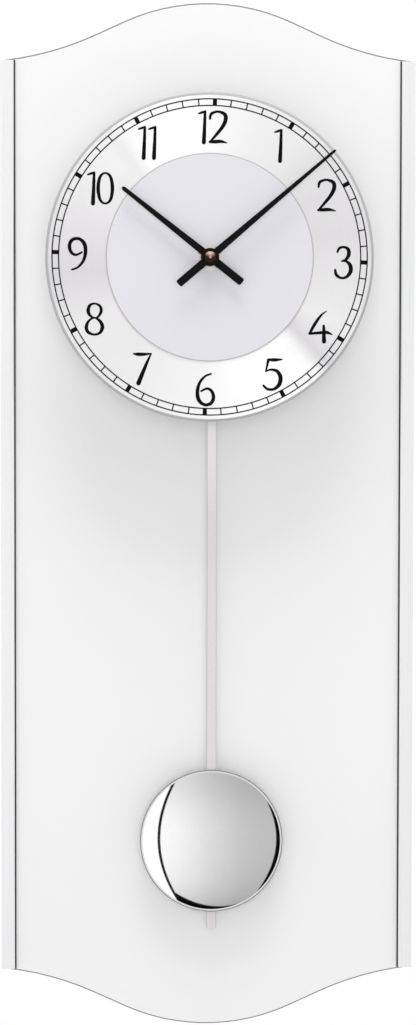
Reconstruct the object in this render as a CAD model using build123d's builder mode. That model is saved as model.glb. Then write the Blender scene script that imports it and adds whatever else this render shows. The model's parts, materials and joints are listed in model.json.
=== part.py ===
from build123d import *
from math import atan2, cos, degrees, hypot, pi, radians, sin, sqrt
import os

os.makedirs("parts", exist_ok=True)

# Pendulum wall clock, in millimetres. +X is the viewer's right, +Z is up, and the clock faces -Y.
# The origin is the centre of the hanger's round hole, on the wall. A depth is how far a face stands out
# from the wall, and sketches on out(depth) face the viewer, with X to the right and Z up.

# ---------------------------------------------------------------- driving dimensions
CLOCK_HEIGHT = 620.0
CLOCK_WIDTH = 250.0
CREST_ABOVE_HANGER = 45.0
MIDDLE_Z = CREST_ABOVE_HANGER - CLOCK_HEIGHT / 2
ARBOR_Z = -108.6                 # the hands' axis

# Ogee ends of the panel: a crown arc, a straight run and a counter-curve to each side
CROWN_RADIUS = 120.8
CROWN_ANGLE = 24.5
RUN_LENGTH = 20.4
COUNTER_RADIUS = 180.0

# Depths of the layers, from the wall outwards
BOARD_BACK = 1.5
GLASS_BACK = 13.5
GLASS_FRONT = 17.5
SEAL = 0.5
SIDE_DEPTH = 19.5
ROD_BACK = 26.1
ROD_FRONT = 27.3
LEVER_BACK = 27.5
LEVER_FRONT = 30.0
CASE_BACK = 31.0
LID = 1.5
CASE_INSIDE = 50.5
CASE_FRONT = 52.0
CARRIER_BACK = 52.5
CARRIER_FRONT = 54.0
DIAL_FRONT = 55.0

# Panel
GLASS_HALF_WIDTH = 123.4
BOARD_INSET = 6.0
SIDE_LENGTH = 550.8
SIDE_WALL = 1.2
FLANGE_INNER = 117.0
FLANGE_BEVEL = 0.6
REAR_FLANGE_INNER = 112.0
LIP_INNER = 116.1
LIP_OUTER = 116.95
LIP_DEPTH = 18.9
ACCESS_RADIUS = 60.0
CORNER = 3.0

# Hanger
HANGER_HOLE = 4.5                # radius of the round hole
HANGER_SLOT = 2.25               # half the slot's width
HANGER_SLOT_UP = 8.0
HANGER_SCREW_X = 23.0
POCKET_DEPTH = 10.0

# Dial and its support
DIAL_RADIUS = 97.5
DIAL_SKIRT = 5.0
DIAL_WALL = 1.0
DIAL_EDGE = 1.2
DISC_RADIUS = 61.7
DISC_THICKNESS = 0.5
CARRIER_RADIUS = 82.5
POST_CIRCLE = 75.0
POST_RADIUS = 4.0
POST_COUNT = 4
BUSH_RADIUS = 4.0
BUSH_CLEARANCE = 0.02

# Hands
MINUTE_ANGLE = 49.5              # clockwise from twelve, at rest
HOUR_ANGLE = -51.7
MINUTE_REACH = 97.4
HOUR_REACH = 66.3
HAND_BOSS = 5.3
HAND_THICKNESS = 0.8
HAND_ROOT = 4.2                  # width beside the boss
MINUTE_TIP = 1.6
HOUR_TIP = 2.4
MINUTE_TAIL = 24.7
HOUR_TAIL = 24.2
TAIL_WIDTH = 4.6
HOUR_HAND_BACK = 59.6
MINUTE_HAND_BACK = 62.0
HOUR_BOSS_BACK = 59.0
MINUTE_BOSS_BACK = 61.4

# Movement module
CASE_WIDTH = 56.0
CASE_TOP = 28.0                  # above the arbor
CASE_BOTTOM = -82.0
CASE_WALL = 1.5
ARBOR_RADIUS = 1.5
PIPE_RADIUS = 2.6
RUNNING = 0.05                   # radial clearance of every running fit
PIVOT_RADIUS = 0.3
PLATE_BACK = 38.0
PLATE_FRONT = 39.0

# Battery, an AA cell lying across the module
CELL_RADIUS = 7.25
CELL_LENGTH = 50.5
CELL_DEPTH = 41.75
CELL_Z = -18.0                   # below the arbor
BAY_HALF_HEIGHT = 7.9
RIB = 1.0

# Pendulum, which hangs a little to the right of the arbor
PENDULUM_X = 2.3
PIVOT_Z = -34.0                  # heights in this group are counted from the arbor
HOOK_Z = -52.0
MAGNET_Z = -66.0
ROD_TIP_Z = -407.8
ROD_WIDTH = 6.0
PIN_RADIUS = 0.75
BOB_Z = -352.2
BOB_RADIUS = 43.2
BOB_RIM = 1.5
BOB_HEIGHT = 8.5
BOB_BACK = 27.4
BOB_WALL = 0.8

# Gear teeth
TOOTH_THICKNESS = 0.42           # of the pitch, on wheels
LEAF_THICKNESS = 0.38            # of the pitch, on pinions
TOOTH_ADDENDUM = 0.85            # of the module, on wheels
LEAF_ADDENDUM = 0.6              # of the module, on pinions
DEDENDUM = 1.3
ROOT_FLARE = 1.25
TIP_TAPER = 0.5


# ---------------------------------------------------------------- shared shapes
def out(depth):
    """Sketch plane facing the viewer at a depth."""
    return Plane.XZ.offset(depth)


def from_arbor(x, z):
    """Sketch point counted from the hands' axis."""
    return (x, ARBOR_Z + z)


def step_from(point, distance, clock_angle):
    """Point at a distance from another, at an angle clockwise from straight up."""
    angle = radians(clock_angle)
    return (point[0] + distance * sin(angle), point[1] + distance * cos(angle))


def ogee_plate(depth, thickness, half_width, inset):
    """Flat plate with an ogee crest at both ends, its crests drawn in by inset."""
    angle = radians(CROWN_ANGLE)
    crest = CLOCK_HEIGHT / 2 - inset
    run_start = Vector(CROWN_RADIUS * sin(angle), crest - CROWN_RADIUS * (1 - cos(angle)))
    run_end = run_start + Vector(cos(angle), -sin(angle)) * RUN_LENGTH
    counter_centre = run_end + Vector(sin(angle), cos(angle)) * COUNTER_RADIUS
    across = (counter_centre.X - half_width) / COUNTER_RADIUS
    side_angle = degrees(atan2(across, sqrt(1 - across ** 2)))
    plane = Plane(origin=(0, -depth, MIDDLE_Z), x_dir=(1, 0, 0), z_dir=(0, -1, 0))
    with BuildPart() as plate:
        with BuildSketch(plane):
            with BuildLine():
                CenterArc((0, crest - CROWN_RADIUS), CROWN_RADIUS, 90, -CROWN_ANGLE)
                Line(run_start, run_end)
                arc_start = 270 - CROWN_ANGLE
                counter = CenterArc(counter_centre, COUNTER_RADIUS, arc_start, CROWN_ANGLE - side_angle)
                Line(counter @ 1, (half_width, 0))
                mirror(about=Plane.XZ)
                mirror(about=Plane.YZ)
            make_face()
        extrude(amount=thickness)
    return plate.part


def turned(steps, point):
    """Turned piece standing off the wall: each step runs between two depths at one radius."""
    with BuildPart() as piece:
        for start, end, radius in steps:
            with BuildSketch(out(start)):
                with Locations(point):
                    Circle(radius)
            extrude(amount=end - start)
    return piece.part


def washer(start, end, radius, bore, point):
    """Flat ring standing off the wall."""
    with BuildPart() as piece:
        with BuildSketch(out(start)):
            with Locations(point):
                Circle(radius)
                Circle(bore, mode=Mode.SUBTRACT)
        extrude(amount=end - start)
    return piece.part


def toothed(teeth, module, start, end, point, turn, leaf):
    """Toothed disc with straight-sided teeth; turn is the clock angle of its first tooth."""
    pitch_angle = 2 * pi / teeth
    pitch_radius = teeth * module / 2
    addendum = LEAF_ADDENDUM if leaf else TOOTH_ADDENDUM
    thickness = LEAF_THICKNESS if leaf else TOOTH_THICKNESS
    half = thickness * pitch_angle / 2
    root_radius = pitch_radius - DEDENDUM * module
    tip_radius = pitch_radius + addendum * module
    flank = (
        (root_radius, -half * ROOT_FLARE),
        (pitch_radius, -half),
        (tip_radius, -half * TIP_TAPER),
        (tip_radius, half * TIP_TAPER),
        (pitch_radius, half),
        (root_radius, half * ROOT_FLARE),
    )
    outline = []
    for index in range(teeth):
        middle = radians(turn) + index * pitch_angle
        for radius, spread in flank:
            outline.append((radius * sin(middle + spread), radius * cos(middle + spread)))
    with BuildPart() as piece:
        with BuildSketch(out(start)):
            with Locations(point):
                Polygon(*outline, align=None)
        extrude(amount=end - start)
    return piece.part


def meshed_turn(driver_point, driver_teeth, driver_turn, driven_point, driven_teeth):
    """Clock angle of a wheel's first tooth that sets a gap against the driver's tooth."""
    toward = degrees(atan2(driven_point[0] - driver_point[0], driven_point[1] - driver_point[1]))
    phase = (toward - driver_turn) * driver_teeth / 360
    return toward + 180 - (0.5 - phase) * 360 / driven_teeth


def hand_blade(depth, reach, tip, tail, angle):
    """Straight tapered hand lying along a clock angle, with a square tail that has cut corners."""
    cut = TAIL_WIDTH / 6
    right_side = (
        (TAIL_WIDTH / 2 - cut, -tail),
        (TAIL_WIDTH / 2, -tail + cut),
        (TAIL_WIDTH / 2, -HAND_BOSS),
        (HAND_ROOT / 2, HAND_BOSS),
        (tip / 2, reach - tip / 2),
        (tip / 6, reach),
    )
    left_side = [(-x, y) for x, y in reversed(right_side)]
    with BuildPart() as blade:
        with BuildSketch(out(depth)):
            with Locations(Location(from_arbor(0, 0), -angle)):
                Polygon(*right_side, *left_side, align=None)
        extrude(amount=HAND_THICKNESS)
    return blade.part


def dome(depth, base_radius, height, point):
    """Cap of a sphere bulging toward the viewer from a flat base."""
    sphere_radius = (base_radius ** 2 + height ** 2) / (2 * height)
    x, z = point
    base = (-depth, z)
    rim = (-depth, z + base_radius)
    crown = (-depth - height, z)
    with BuildPart() as cap:
        with BuildSketch(Plane.YZ.offset(x)):
            with BuildLine():
                Line(base, rim)
                RadiusArc(rim, crown, -sphere_radius)
                Line(crown, base)
            make_face()
        revolve(axis=Axis((x, 0, z), (0, 1, 0)))
    return cap.part


# ---------------------------------------------------------------- derived places
arbor_point = from_arbor(0, 0)
side_base_z = MIDDLE_Z - SIDE_LENGTH / 2
post_points = [step_from(arbor_point, POST_CIRCLE, 45 + 90 * index) for index in range(POST_COUNT)]
hanger_middle = (0, HANGER_SLOT_UP / 2)
hanger_screw_points = [(-HANGER_SCREW_X, HANGER_SLOT_UP / 2), (HANGER_SCREW_X, HANGER_SLOT_UP / 2)]

# ================================================================ panel

# ---- side profiles: aluminium channels that clasp the board and the glass, left and right
for side, sign in (("left", -1), ("right", 1)):
    section = (
        (CLOCK_WIDTH / 2, 0),
        (REAR_FLANGE_INNER, 0),
        (REAR_FLANGE_INNER, -BOARD_BACK),
        (CLOCK_WIDTH / 2 - SIDE_WALL, -BOARD_BACK),
        (CLOCK_WIDTH / 2 - SIDE_WALL, -GLASS_FRONT - SEAL),
        (FLANGE_INNER, -GLASS_FRONT - SEAL),
        (FLANGE_INNER, -SIDE_DEPTH + FLANGE_BEVEL),
        (FLANGE_INNER + FLANGE_BEVEL, -SIDE_DEPTH),
        (CLOCK_WIDTH / 2, -SIDE_DEPTH),
    )
    with BuildPart() as side_profile:
        with BuildSketch(Plane.XY.offset(side_base_z)):
            Polygon(*[(sign * x, y) for x, y in section], align=None)
        extrude(amount=SIDE_LENGTH)
    side_profile.part.label = f"side_profile_{side}"
    export_step(side_profile.part, f"parts/side_profile_{side}.step")

    # The black gasket under the front flange, with a lip that stands up along the flange's inner edge
    seal_section = (
        (GLASS_HALF_WIDTH, -GLASS_FRONT),
        (LIP_INNER, -GLASS_FRONT),
        (LIP_INNER, -LIP_DEPTH),
        (LIP_OUTER, -LIP_DEPTH),
        (LIP_OUTER, -GLASS_FRONT - SEAL),
        (GLASS_HALF_WIDTH, -GLASS_FRONT - SEAL),
    )
    with BuildPart() as gasket:
        with BuildSketch(Plane.XY.offset(side_base_z)):
            Polygon(*[(sign * x, y) for x, y in seal_section], align=None)
        extrude(amount=SIDE_LENGTH)
    gasket.part.label = f"gasket_{side}"
    export_step(gasket.part, f"parts/gasket_{side}.step")

# ---- glass panel: white-backed glass with a ground arris and the access opening behind the dial
POST_SCREW_HOLE = 1.7
GLASS_ARRIS = 0.8
with BuildPart() as glass_panel:
    add(ogee_plate(GLASS_BACK, GLASS_FRONT - GLASS_BACK, GLASS_HALF_WIDTH, 0))
    chamfer(glass_panel.edges().group_by(Axis.Y)[0], GLASS_ARRIS)
    with BuildSketch(out(GLASS_BACK)):
        with Locations(arbor_point):
            Circle(ACCESS_RADIUS)
        with Locations(*post_points):
            Circle(POST_SCREW_HOLE)
    extrude(amount=GLASS_FRONT - GLASS_BACK, mode=Mode.SUBTRACT)
glass_panel.part.label = "glass_panel"
export_step(glass_panel.part, "parts/glass_panel.step")

# ---- backing board: carries the side profiles and the posts' screws, with a window for the hanger block
POST_HEAD_HOLE = 3.2
POST_HEAD_DEPTH = 3.0
BLOCK_WIDTH = 68.0
BLOCK_HEIGHT = 36.0
BLOCK_GAP = 0.1
with BuildPart() as backing_board:
    add(ogee_plate(BOARD_BACK, GLASS_BACK - BOARD_BACK, GLASS_HALF_WIDTH, BOARD_INSET))
    with BuildSketch(out(BOARD_BACK)):
        with Locations(arbor_point):
            Circle(ACCESS_RADIUS)
        with Locations(*post_points):
            Circle(POST_SCREW_HOLE)
    extrude(amount=GLASS_BACK - BOARD_BACK, mode=Mode.SUBTRACT)
    with BuildSketch(out(BOARD_BACK)):
        with Locations(*post_points):
            Circle(POST_HEAD_HOLE)
    extrude(amount=POST_HEAD_DEPTH, mode=Mode.SUBTRACT)
    with BuildSketch(out(BOARD_BACK)):
        with Locations(hanger_middle):
            Rectangle(BLOCK_WIDTH + 2 * BLOCK_GAP, BLOCK_HEIGHT + 2 * BLOCK_GAP)
    extrude(amount=GLASS_BACK - BOARD_BACK, mode=Mode.SUBTRACT)
backing_board.part.label = "backing_board"
export_step(backing_board.part, "parts/backing_board.step")

# ---- hanger block: hardwood block glued in the board's window, with the pocket for the wall screw's head
HANGER_PILOT = 0.9
HANGER_PILOT_DEPTH = 8.0
POCKET_WIDTH = 13.0
POCKET_HEIGHT = 21.0
with BuildPart() as hanger_block:
    with BuildSketch(out(BOARD_BACK)):
        with Locations(hanger_middle):
            Rectangle(BLOCK_WIDTH, BLOCK_HEIGHT)
    extrude(amount=GLASS_BACK - BOARD_BACK)
    with BuildSketch(out(BOARD_BACK)):
        with Locations(hanger_middle):
            RectangleRounded(POCKET_WIDTH, POCKET_HEIGHT, CORNER)
    extrude(amount=POCKET_DEPTH, mode=Mode.SUBTRACT)
    with BuildSketch(out(BOARD_BACK)):
        with Locations(*hanger_screw_points):
            Circle(HANGER_PILOT)
    extrude(amount=HANGER_PILOT_DEPTH, mode=Mode.SUBTRACT)
hanger_block.part.label = "hanger_block"
export_step(hanger_block.part, "parts/hanger_block.step")

# ---- hanger plate: steel keyhole plate let in flush with the profiles' rear flanges
HANGER_WIDTH = 60.0
HANGER_HEIGHT = 27.0
HANGER_SCREW_HOLE = 1.8
HANGER_SINK_RADIUS = 3.2
with BuildPart() as hanger_plate:
    with BuildSketch(out(0)):
        with Locations(hanger_middle):
            RectangleRounded(HANGER_WIDTH, HANGER_HEIGHT, CORNER)
    extrude(amount=BOARD_BACK)
    with BuildSketch(out(0)):
        Circle(HANGER_HOLE)
        with Locations(hanger_middle):
            SlotOverall(HANGER_SLOT_UP + 2 * HANGER_SLOT, 2 * HANGER_SLOT, rotation=90)
    extrude(amount=BOARD_BACK, mode=Mode.SUBTRACT)
    for x, z in hanger_screw_points:
        with Locations(Plane(origin=(x, 0, z), x_dir=(1, 0, 0), z_dir=(0, 1, 0))):
            CounterSinkHole(HANGER_SCREW_HOLE, HANGER_SINK_RADIUS, BOARD_BACK)
hanger_plate.part.label = "hanger_plate"
export_step(hanger_plate.part, "parts/hanger_plate.step")

# ---- hanger screws: countersunk wood screws, one each side of the keyhole
HANGER_SCREW_LENGTH = 9.0
HANGER_SHANK = 0.85
HANGER_HEAD = 2.9
HANGER_HEAD_END = 1.4
HEAD_SUNK = 0.1                  # how far a countersunk head lies below its plate
HANGER_CROSS = 0.6
with BuildPart() as hanger_screws:
    for x, z in hanger_screw_points:
        add(turned([(HEAD_SUNK, HANGER_SCREW_LENGTH, HANGER_SHANK)], (x, z)))
        with BuildSketch(out(HEAD_SUNK)):
            with Locations((x, z)):
                Circle(HANGER_HEAD)
        with BuildSketch(out(BOARD_BACK)):
            with Locations((x, z)):
                Circle(HANGER_HEAD_END)
        loft()
    with BuildSketch(out(HEAD_SUNK)):
        with Locations(*hanger_screw_points):
            Rectangle(HANGER_HEAD, HANGER_CROSS)
            Rectangle(HANGER_CROSS, HANGER_HEAD)
    extrude(amount=HANGER_CROSS, mode=Mode.SUBTRACT)
hanger_screws.part.label = "hanger_screws"
export_step(hanger_screws.part, "parts/hanger_screws.step")

# ---- wall pads: rubber feet low on the back, level with the profiles' rear flanges
PAD_RADIUS = 6.0
PAD_X = 60.0
PAD_Z = -530.0
with BuildPart() as wall_pads:
    with BuildSketch(out(0)):
        with Locations((-PAD_X, PAD_Z), (PAD_X, PAD_Z)):
            Circle(PAD_RADIUS)
    extrude(amount=BOARD_BACK)
wall_pads.part.label = "wall_pads"
export_step(wall_pads.part, "parts/wall_pads.step")

# ================================================================ dial and its support

POST_WASHER = 0.5
POST_WASHER_RADIUS = 5.0
POST_BASE = GLASS_FRONT + POST_WASHER
POST_THREAD = 1.55
POST_THREAD_DEPTH = 12.0
SCREW_RADIUS = 1.5
FRONT_SCREW_DEPTH = 8.0
SINK_RADIUS = 3.0

# ---- post washers: clear nylon rings that keep the posts off the glass
with BuildPart() as post_washers:
    for point in post_points:
        add(washer(GLASS_FRONT, POST_BASE, POST_WASHER_RADIUS, POST_SCREW_HOLE, point))
post_washers.part.label = "post_washers"
export_step(post_washers.part, "parts/post_washers.step")

# ---- standoff posts: four aluminium spacers that hold the dial out in front of the pendulum
with BuildPart() as standoff_posts:
    for point in post_points:
        add(turned([(POST_BASE, CARRIER_BACK, POST_RADIUS)], point))
    with BuildSketch(out(POST_BASE)):
        with Locations(*post_points):
            Circle(POST_THREAD)
    extrude(amount=POST_THREAD_DEPTH, mode=Mode.SUBTRACT)
    with BuildSketch(out(CARRIER_BACK - POST_THREAD_DEPTH)):
        with Locations(*post_points):
            Circle(POST_THREAD)
    extrude(amount=POST_THREAD_DEPTH, mode=Mode.SUBTRACT)
standoff_posts.part.label = "standoff_posts"
export_step(standoff_posts.part, "parts/standoff_posts.step")

# ---- rear post screws: M3 pan heads sunk in the back of the board
POST_SCREW_HEAD = 2.75
POST_HEAD_HEIGHT = 2.0
POST_CROSS = 0.7
POST_CROSS_DEPTH = 1.0
POST_SCREW_GRIP = 8.0            # length of screw in the post
with BuildPart() as post_rear_screws:
    head_front = BOARD_BACK + POST_HEAD_DEPTH
    head_back = head_front - POST_HEAD_HEIGHT
    pan_head = (head_back, head_front, POST_SCREW_HEAD)
    shank = (head_front, POST_BASE + POST_SCREW_GRIP, SCREW_RADIUS)
    for point in post_points:
        add(turned([pan_head, shank], point))
    with BuildSketch(out(head_back)):
        with Locations(*post_points):
            Rectangle(POST_SCREW_HEAD, POST_CROSS)
            Rectangle(POST_CROSS, POST_SCREW_HEAD)
    extrude(amount=POST_CROSS_DEPTH, mode=Mode.SUBTRACT)
post_rear_screws.part.label = "post_rear_screws"
export_step(post_rear_screws.part, "parts/post_rear_screws.step")

# ---- carrier plate: steel disc on the posts that the dial and the movement are clamped to
WINDOW_WIDTH = 34.0
WINDOW_HEIGHT = 16.0
WINDOW_CIRCLE = 58.0
with BuildPart() as carrier_plate:
    with BuildSketch(out(CARRIER_BACK)):
        with Locations(arbor_point):
            Circle(CARRIER_RADIUS)
            Circle(BUSH_RADIUS + RUNNING, mode=Mode.SUBTRACT)
        with Locations(from_arbor(0, WINDOW_CIRCLE), from_arbor(0, -WINDOW_CIRCLE)):
            RectangleRounded(WINDOW_WIDTH, WINDOW_HEIGHT, CORNER, mode=Mode.SUBTRACT)
    extrude(amount=CARRIER_FRONT - CARRIER_BACK)
    for x, z in post_points:
        with Locations(Plane(origin=(x, -CARRIER_FRONT, z), x_dir=(1, 0, 0), z_dir=(0, -1, 0))):
            CounterSinkHole(POST_SCREW_HOLE, SINK_RADIUS, CARRIER_FRONT - CARRIER_BACK)
carrier_plate.part.label = "carrier_plate"
export_step(carrier_plate.part, "parts/carrier_plate.step")

# ---- front post screws: countersunk M3, flush with the carrier and hidden by the dial
FRONT_HEAD_RADIUS = 2.75
FRONT_HEAD_HEIGHT = 1.2
with BuildPart() as post_front_screws:
    for point in post_points:
        add(turned([(CARRIER_BACK - FRONT_SCREW_DEPTH, CARRIER_FRONT - HEAD_SUNK, SCREW_RADIUS)], point))
        with BuildSketch(out(CARRIER_FRONT - HEAD_SUNK)):
            with Locations(point):
                Circle(FRONT_HEAD_RADIUS)
        with BuildSketch(out(CARRIER_FRONT - HEAD_SUNK - FRONT_HEAD_HEIGHT)):
            with Locations(point):
                Circle(SCREW_RADIUS)
        loft()
post_front_screws.part.label = "post_front_screws"
export_step(post_front_screws.part, "parts/post_front_screws.step")

# ---- dial plate: spun aluminium pan with a rolled edge
with BuildPart() as dial_plate:
    with BuildSketch(out(DIAL_FRONT - DIAL_WALL - DIAL_SKIRT)):
        with Locations(arbor_point):
            Circle(DIAL_RADIUS)
    extrude(amount=DIAL_WALL + DIAL_SKIRT)
    fillet(dial_plate.edges().sort_by(Axis.Y)[0], DIAL_EDGE)
    with BuildSketch(out(DIAL_FRONT - DIAL_WALL - DIAL_SKIRT)):
        with Locations(arbor_point):
            Circle(DIAL_RADIUS - DIAL_WALL)
    extrude(amount=DIAL_SKIRT, mode=Mode.SUBTRACT)
    with BuildSketch(out(CARRIER_FRONT)):
        with Locations(arbor_point):
            Circle(BUSH_RADIUS + RUNNING)
    extrude(amount=DIAL_WALL, mode=Mode.SUBTRACT)
dial_plate.part.label = "dial_plate"
export_step(dial_plate.part, "parts/dial_plate.step")

# ---- centre disc: matt disc laid on the middle of the dial
DISC_FRONT = DIAL_FRONT + DISC_THICKNESS
DISC_BEVEL = 0.25
with BuildPart() as centre_disc:
    add(washer(DIAL_FRONT, DISC_FRONT, DISC_RADIUS, BUSH_RADIUS + RUNNING, arbor_point))
    outer_edges = centre_disc.edges().filter_by(GeomType.CIRCLE).sort_by(SortBy.RADIUS)[-2:]
    chamfer(outer_edges.sort_by(Axis.Y)[0], DISC_BEVEL)
centre_disc.part.label = "centre_disc"
export_step(centre_disc.part, "parts/centre_disc.step")

# ---- dial washer and fixing nut: clamp the dial to the movement's threaded bush
WASHER_RADIUS = 7.7
WASHER_THICKNESS = 0.4
NUT_RADIUS = 5.6
NUT_HEIGHT = 2.1
NUT_SLOT = 1.4
NUT_SLOT_DEPTH = 1.0
NUT_FRONT = DISC_FRONT + WASHER_THICKNESS + NUT_HEIGHT
with BuildPart() as dial_washer:
    add(washer(DISC_FRONT, DISC_FRONT + WASHER_THICKNESS, WASHER_RADIUS, BUSH_RADIUS + RUNNING, arbor_point))
dial_washer.part.label = "dial_washer"
export_step(dial_washer.part, "parts/dial_washer.step")

with BuildPart() as fixing_nut:
    add(washer(DISC_FRONT + WASHER_THICKNESS, NUT_FRONT, NUT_RADIUS, BUSH_RADIUS + RUNNING, arbor_point))
    with BuildSketch(out(NUT_FRONT - NUT_SLOT_DEPTH)):
        with Locations(arbor_point):
            Rectangle(3 * NUT_RADIUS, NUT_SLOT)
    extrude(amount=NUT_SLOT_DEPTH, mode=Mode.SUBTRACT)
fixing_nut.part.label = "fixing_nut"
export_step(fixing_nut.part, "parts/fixing_nut.step")

# ---- rubber washer: between the movement and the carrier
RUBBER_RADIUS = 10.0
with BuildPart() as rubber_washer:
    add(washer(CASE_FRONT, CARRIER_BACK, RUBBER_RADIUS, BUSH_RADIUS + RUNNING, arbor_point))
rubber_washer.part.label = "rubber_washer"
export_step(rubber_washer.part, "parts/rubber_washer.step")

# ================================================================ gear layout

# Teeth, modules and the direction of each axis from the one before it
WORK_MODULE = 0.25
CANNON_LEAVES = 15
MINUTE_WHEEL_TEETH = 45
MINUTE_PINION_LEAVES = 12
HOUR_WHEEL_TEETH = 48
SETTING_LEAVES = 18
CENTRE_TEETH = 60
THIRD_TEETH = 64
SECOND_TEETH = 60
INTERMEDIATE_TEETH = 60
DRIVE_LEAVES = 8
INTERMEDIATE_LEAVES = 10
ROTOR_LEAVES = 12
THIRD_MODULE = 0.2
SECOND_MODULE = 0.18
ROTOR_MODULE = 0.15

minute_wheel_point = step_from(arbor_point, WORK_MODULE * (CANNON_LEAVES + MINUTE_WHEEL_TEETH) / 2, 250)
setting_point = step_from(minute_wheel_point, WORK_MODULE * (MINUTE_WHEEL_TEETH + SETTING_LEAVES) / 2, 280)
third_point = step_from(arbor_point, WORK_MODULE * (CENTRE_TEETH + DRIVE_LEAVES) / 2, -30)
second_point = step_from(third_point, THIRD_MODULE * (THIRD_TEETH + DRIVE_LEAVES) / 2, 60)
intermediate_point = step_from(second_point, SECOND_MODULE * (SECOND_TEETH + INTERMEDIATE_LEAVES) / 2, 80)
rotor_point = step_from(intermediate_point, ROTOR_MODULE * (INTERMEDIATE_TEETH + ROTOR_LEAVES) / 2, 110)
train_points = [third_point, second_point, intermediate_point, rotor_point]

minute_wheel_turn = meshed_turn(arbor_point, CANNON_LEAVES, 0, minute_wheel_point, MINUTE_WHEEL_TEETH)
hour_wheel_turn = meshed_turn(minute_wheel_point, MINUTE_PINION_LEAVES, 0, arbor_point, HOUR_WHEEL_TEETH)
setting_turn = meshed_turn(
    minute_wheel_point, MINUTE_WHEEL_TEETH, minute_wheel_turn, setting_point, SETTING_LEAVES
)
third_pinion_turn = meshed_turn(arbor_point, CENTRE_TEETH, 0, third_point, DRIVE_LEAVES)
second_pinion_turn = meshed_turn(third_point, THIRD_TEETH, 0, second_point, DRIVE_LEAVES)
intermediate_pinion_turn = meshed_turn(second_point, SECOND_TEETH, 0, intermediate_point, INTERMEDIATE_LEAVES)
rotor_turn = meshed_turn(intermediate_point, INTERMEDIATE_TEETH, 0, rotor_point, ROTOR_LEAVES)

# Depths of the gear layers
HOUR_WHEEL_LAYER = (49.0, 50.0)
MINUTE_WHEEL_LAYER = (47.4, 48.4)
CENTRE_LAYER = (45.8, 46.6)
THIRD_LAYER = (44.0, 44.8)
SECOND_LAYER = (42.0, 42.8)
INTERMEDIATE_LAYER = (40.0, 40.8)
OVERHANG = 0.2                   # how much longer a pinion is than the wheel it meets, at each end
PIVOT_FRONT = CASE_INSIDE + 0.7
PIVOT_BACK = PLATE_BACK - 0.2
BEARING_DEPTH = 0.9

# ================================================================ movement case

case_middle = from_arbor(0, (CASE_TOP + CASE_BOTTOM) / 2)
case_height = CASE_TOP - CASE_BOTTOM
bay_ribs = [from_arbor(0, CELL_Z + way * (BAY_HALF_HEIGHT + RIB / 2)) for way in (-1, 1)]
pillar_points = [from_arbor(-11.5, 15), from_arbor(20, 2), from_arbor(4, 22)]
PILLAR_RADIUS = 1.6
PILLAR_HOLE = 0.75
PILLAR_HOLE_DEPTH = 5.0
STUD_RADIUS = 0.6
SETTING_PIVOT = 0.5

# ---- case front: moulded tray with bearings, a stud, pillars and the battery bay's ribs
with BuildPart() as case_front:
    with BuildSketch(out(CASE_BACK + LID)):
        with Locations(case_middle):
            RectangleRounded(CASE_WIDTH, case_height, CORNER)
    extrude(amount=CASE_FRONT - CASE_BACK - LID)
    with BuildSketch(out(CASE_BACK + LID)):
        with Locations(case_middle):
            RectangleRounded(CASE_WIDTH - 2 * CASE_WALL, case_height - 2 * CASE_WALL, CORNER - CASE_WALL)
    extrude(amount=CASE_INSIDE - CASE_BACK - LID, mode=Mode.SUBTRACT)
    with BuildSketch(out(CASE_BACK + LID)):
        with Locations(*bay_ribs):
            Rectangle(CASE_WIDTH - CASE_WALL, RIB)
    extrude(amount=CASE_INSIDE - CASE_BACK - LID)
    with BuildSketch(out(PLATE_FRONT)):
        with Locations(*pillar_points):
            Circle(PILLAR_RADIUS)
    extrude(amount=CASE_INSIDE - PLATE_FRONT)
    with BuildSketch(out(PLATE_FRONT)):
        with Locations(*pillar_points):
            Circle(PILLAR_HOLE)
    extrude(amount=PILLAR_HOLE_DEPTH, mode=Mode.SUBTRACT)
    with BuildSketch(out(MINUTE_WHEEL_LAYER[0] - OVERHANG)):
        with Locations(minute_wheel_point):
            Circle(STUD_RADIUS)
    extrude(amount=CASE_INSIDE - MINUTE_WHEEL_LAYER[0] + OVERHANG)
    with BuildSketch(out(CASE_INSIDE)):
        with Locations(*train_points):
            Circle(PIVOT_RADIUS + RUNNING)
        with Locations(setting_point):
            Circle(SETTING_PIVOT + RUNNING)
    extrude(amount=BEARING_DEPTH, mode=Mode.SUBTRACT)
    with BuildSketch(out(CASE_INSIDE)):
        with Locations(arbor_point):
            Circle(BUSH_RADIUS + BUSH_CLEARANCE)
    extrude(amount=CASE_FRONT - CASE_INSIDE, mode=Mode.SUBTRACT)
case_front.part.label = "case_front"
export_step(case_front.part, "parts/case_front.step")

# ---- case back: lid with the battery's opening and the holes for the knob and the suspension pin
SETTING_SHAFT = 1.0
BAY_OPENING_WIDTH = 52.0
with BuildPart() as case_back:
    with BuildSketch(out(CASE_BACK)):
        with Locations(case_middle):
            RectangleRounded(CASE_WIDTH, case_height, CORNER)
        with Locations(from_arbor(0, CELL_Z)):
            Rectangle(BAY_OPENING_WIDTH, 2 * BAY_HALF_HEIGHT, mode=Mode.SUBTRACT)
        with Locations(setting_point):
            Circle(SETTING_SHAFT + RUNNING, mode=Mode.SUBTRACT)
        with Locations(from_arbor(PENDULUM_X, PIVOT_Z)):
            Circle(PIN_RADIUS + BUSH_CLEARANCE, mode=Mode.SUBTRACT)
    extrude(amount=LID)
case_back.part.label = "case_back"
export_step(case_back.part, "parts/case_back.step")

# ---- threaded bush: M8 brass bush, pressed in the tray, that the dial is clamped on
BUSH_FRONT = 58.5
with BuildPart() as threaded_bush:
    add(washer(CASE_INSIDE, BUSH_FRONT, BUSH_RADIUS, PIPE_RADIUS + RUNNING, arbor_point))
threaded_bush.part.label = "threaded_bush"
export_step(threaded_bush.part, "parts/threaded_bush.step")

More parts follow.
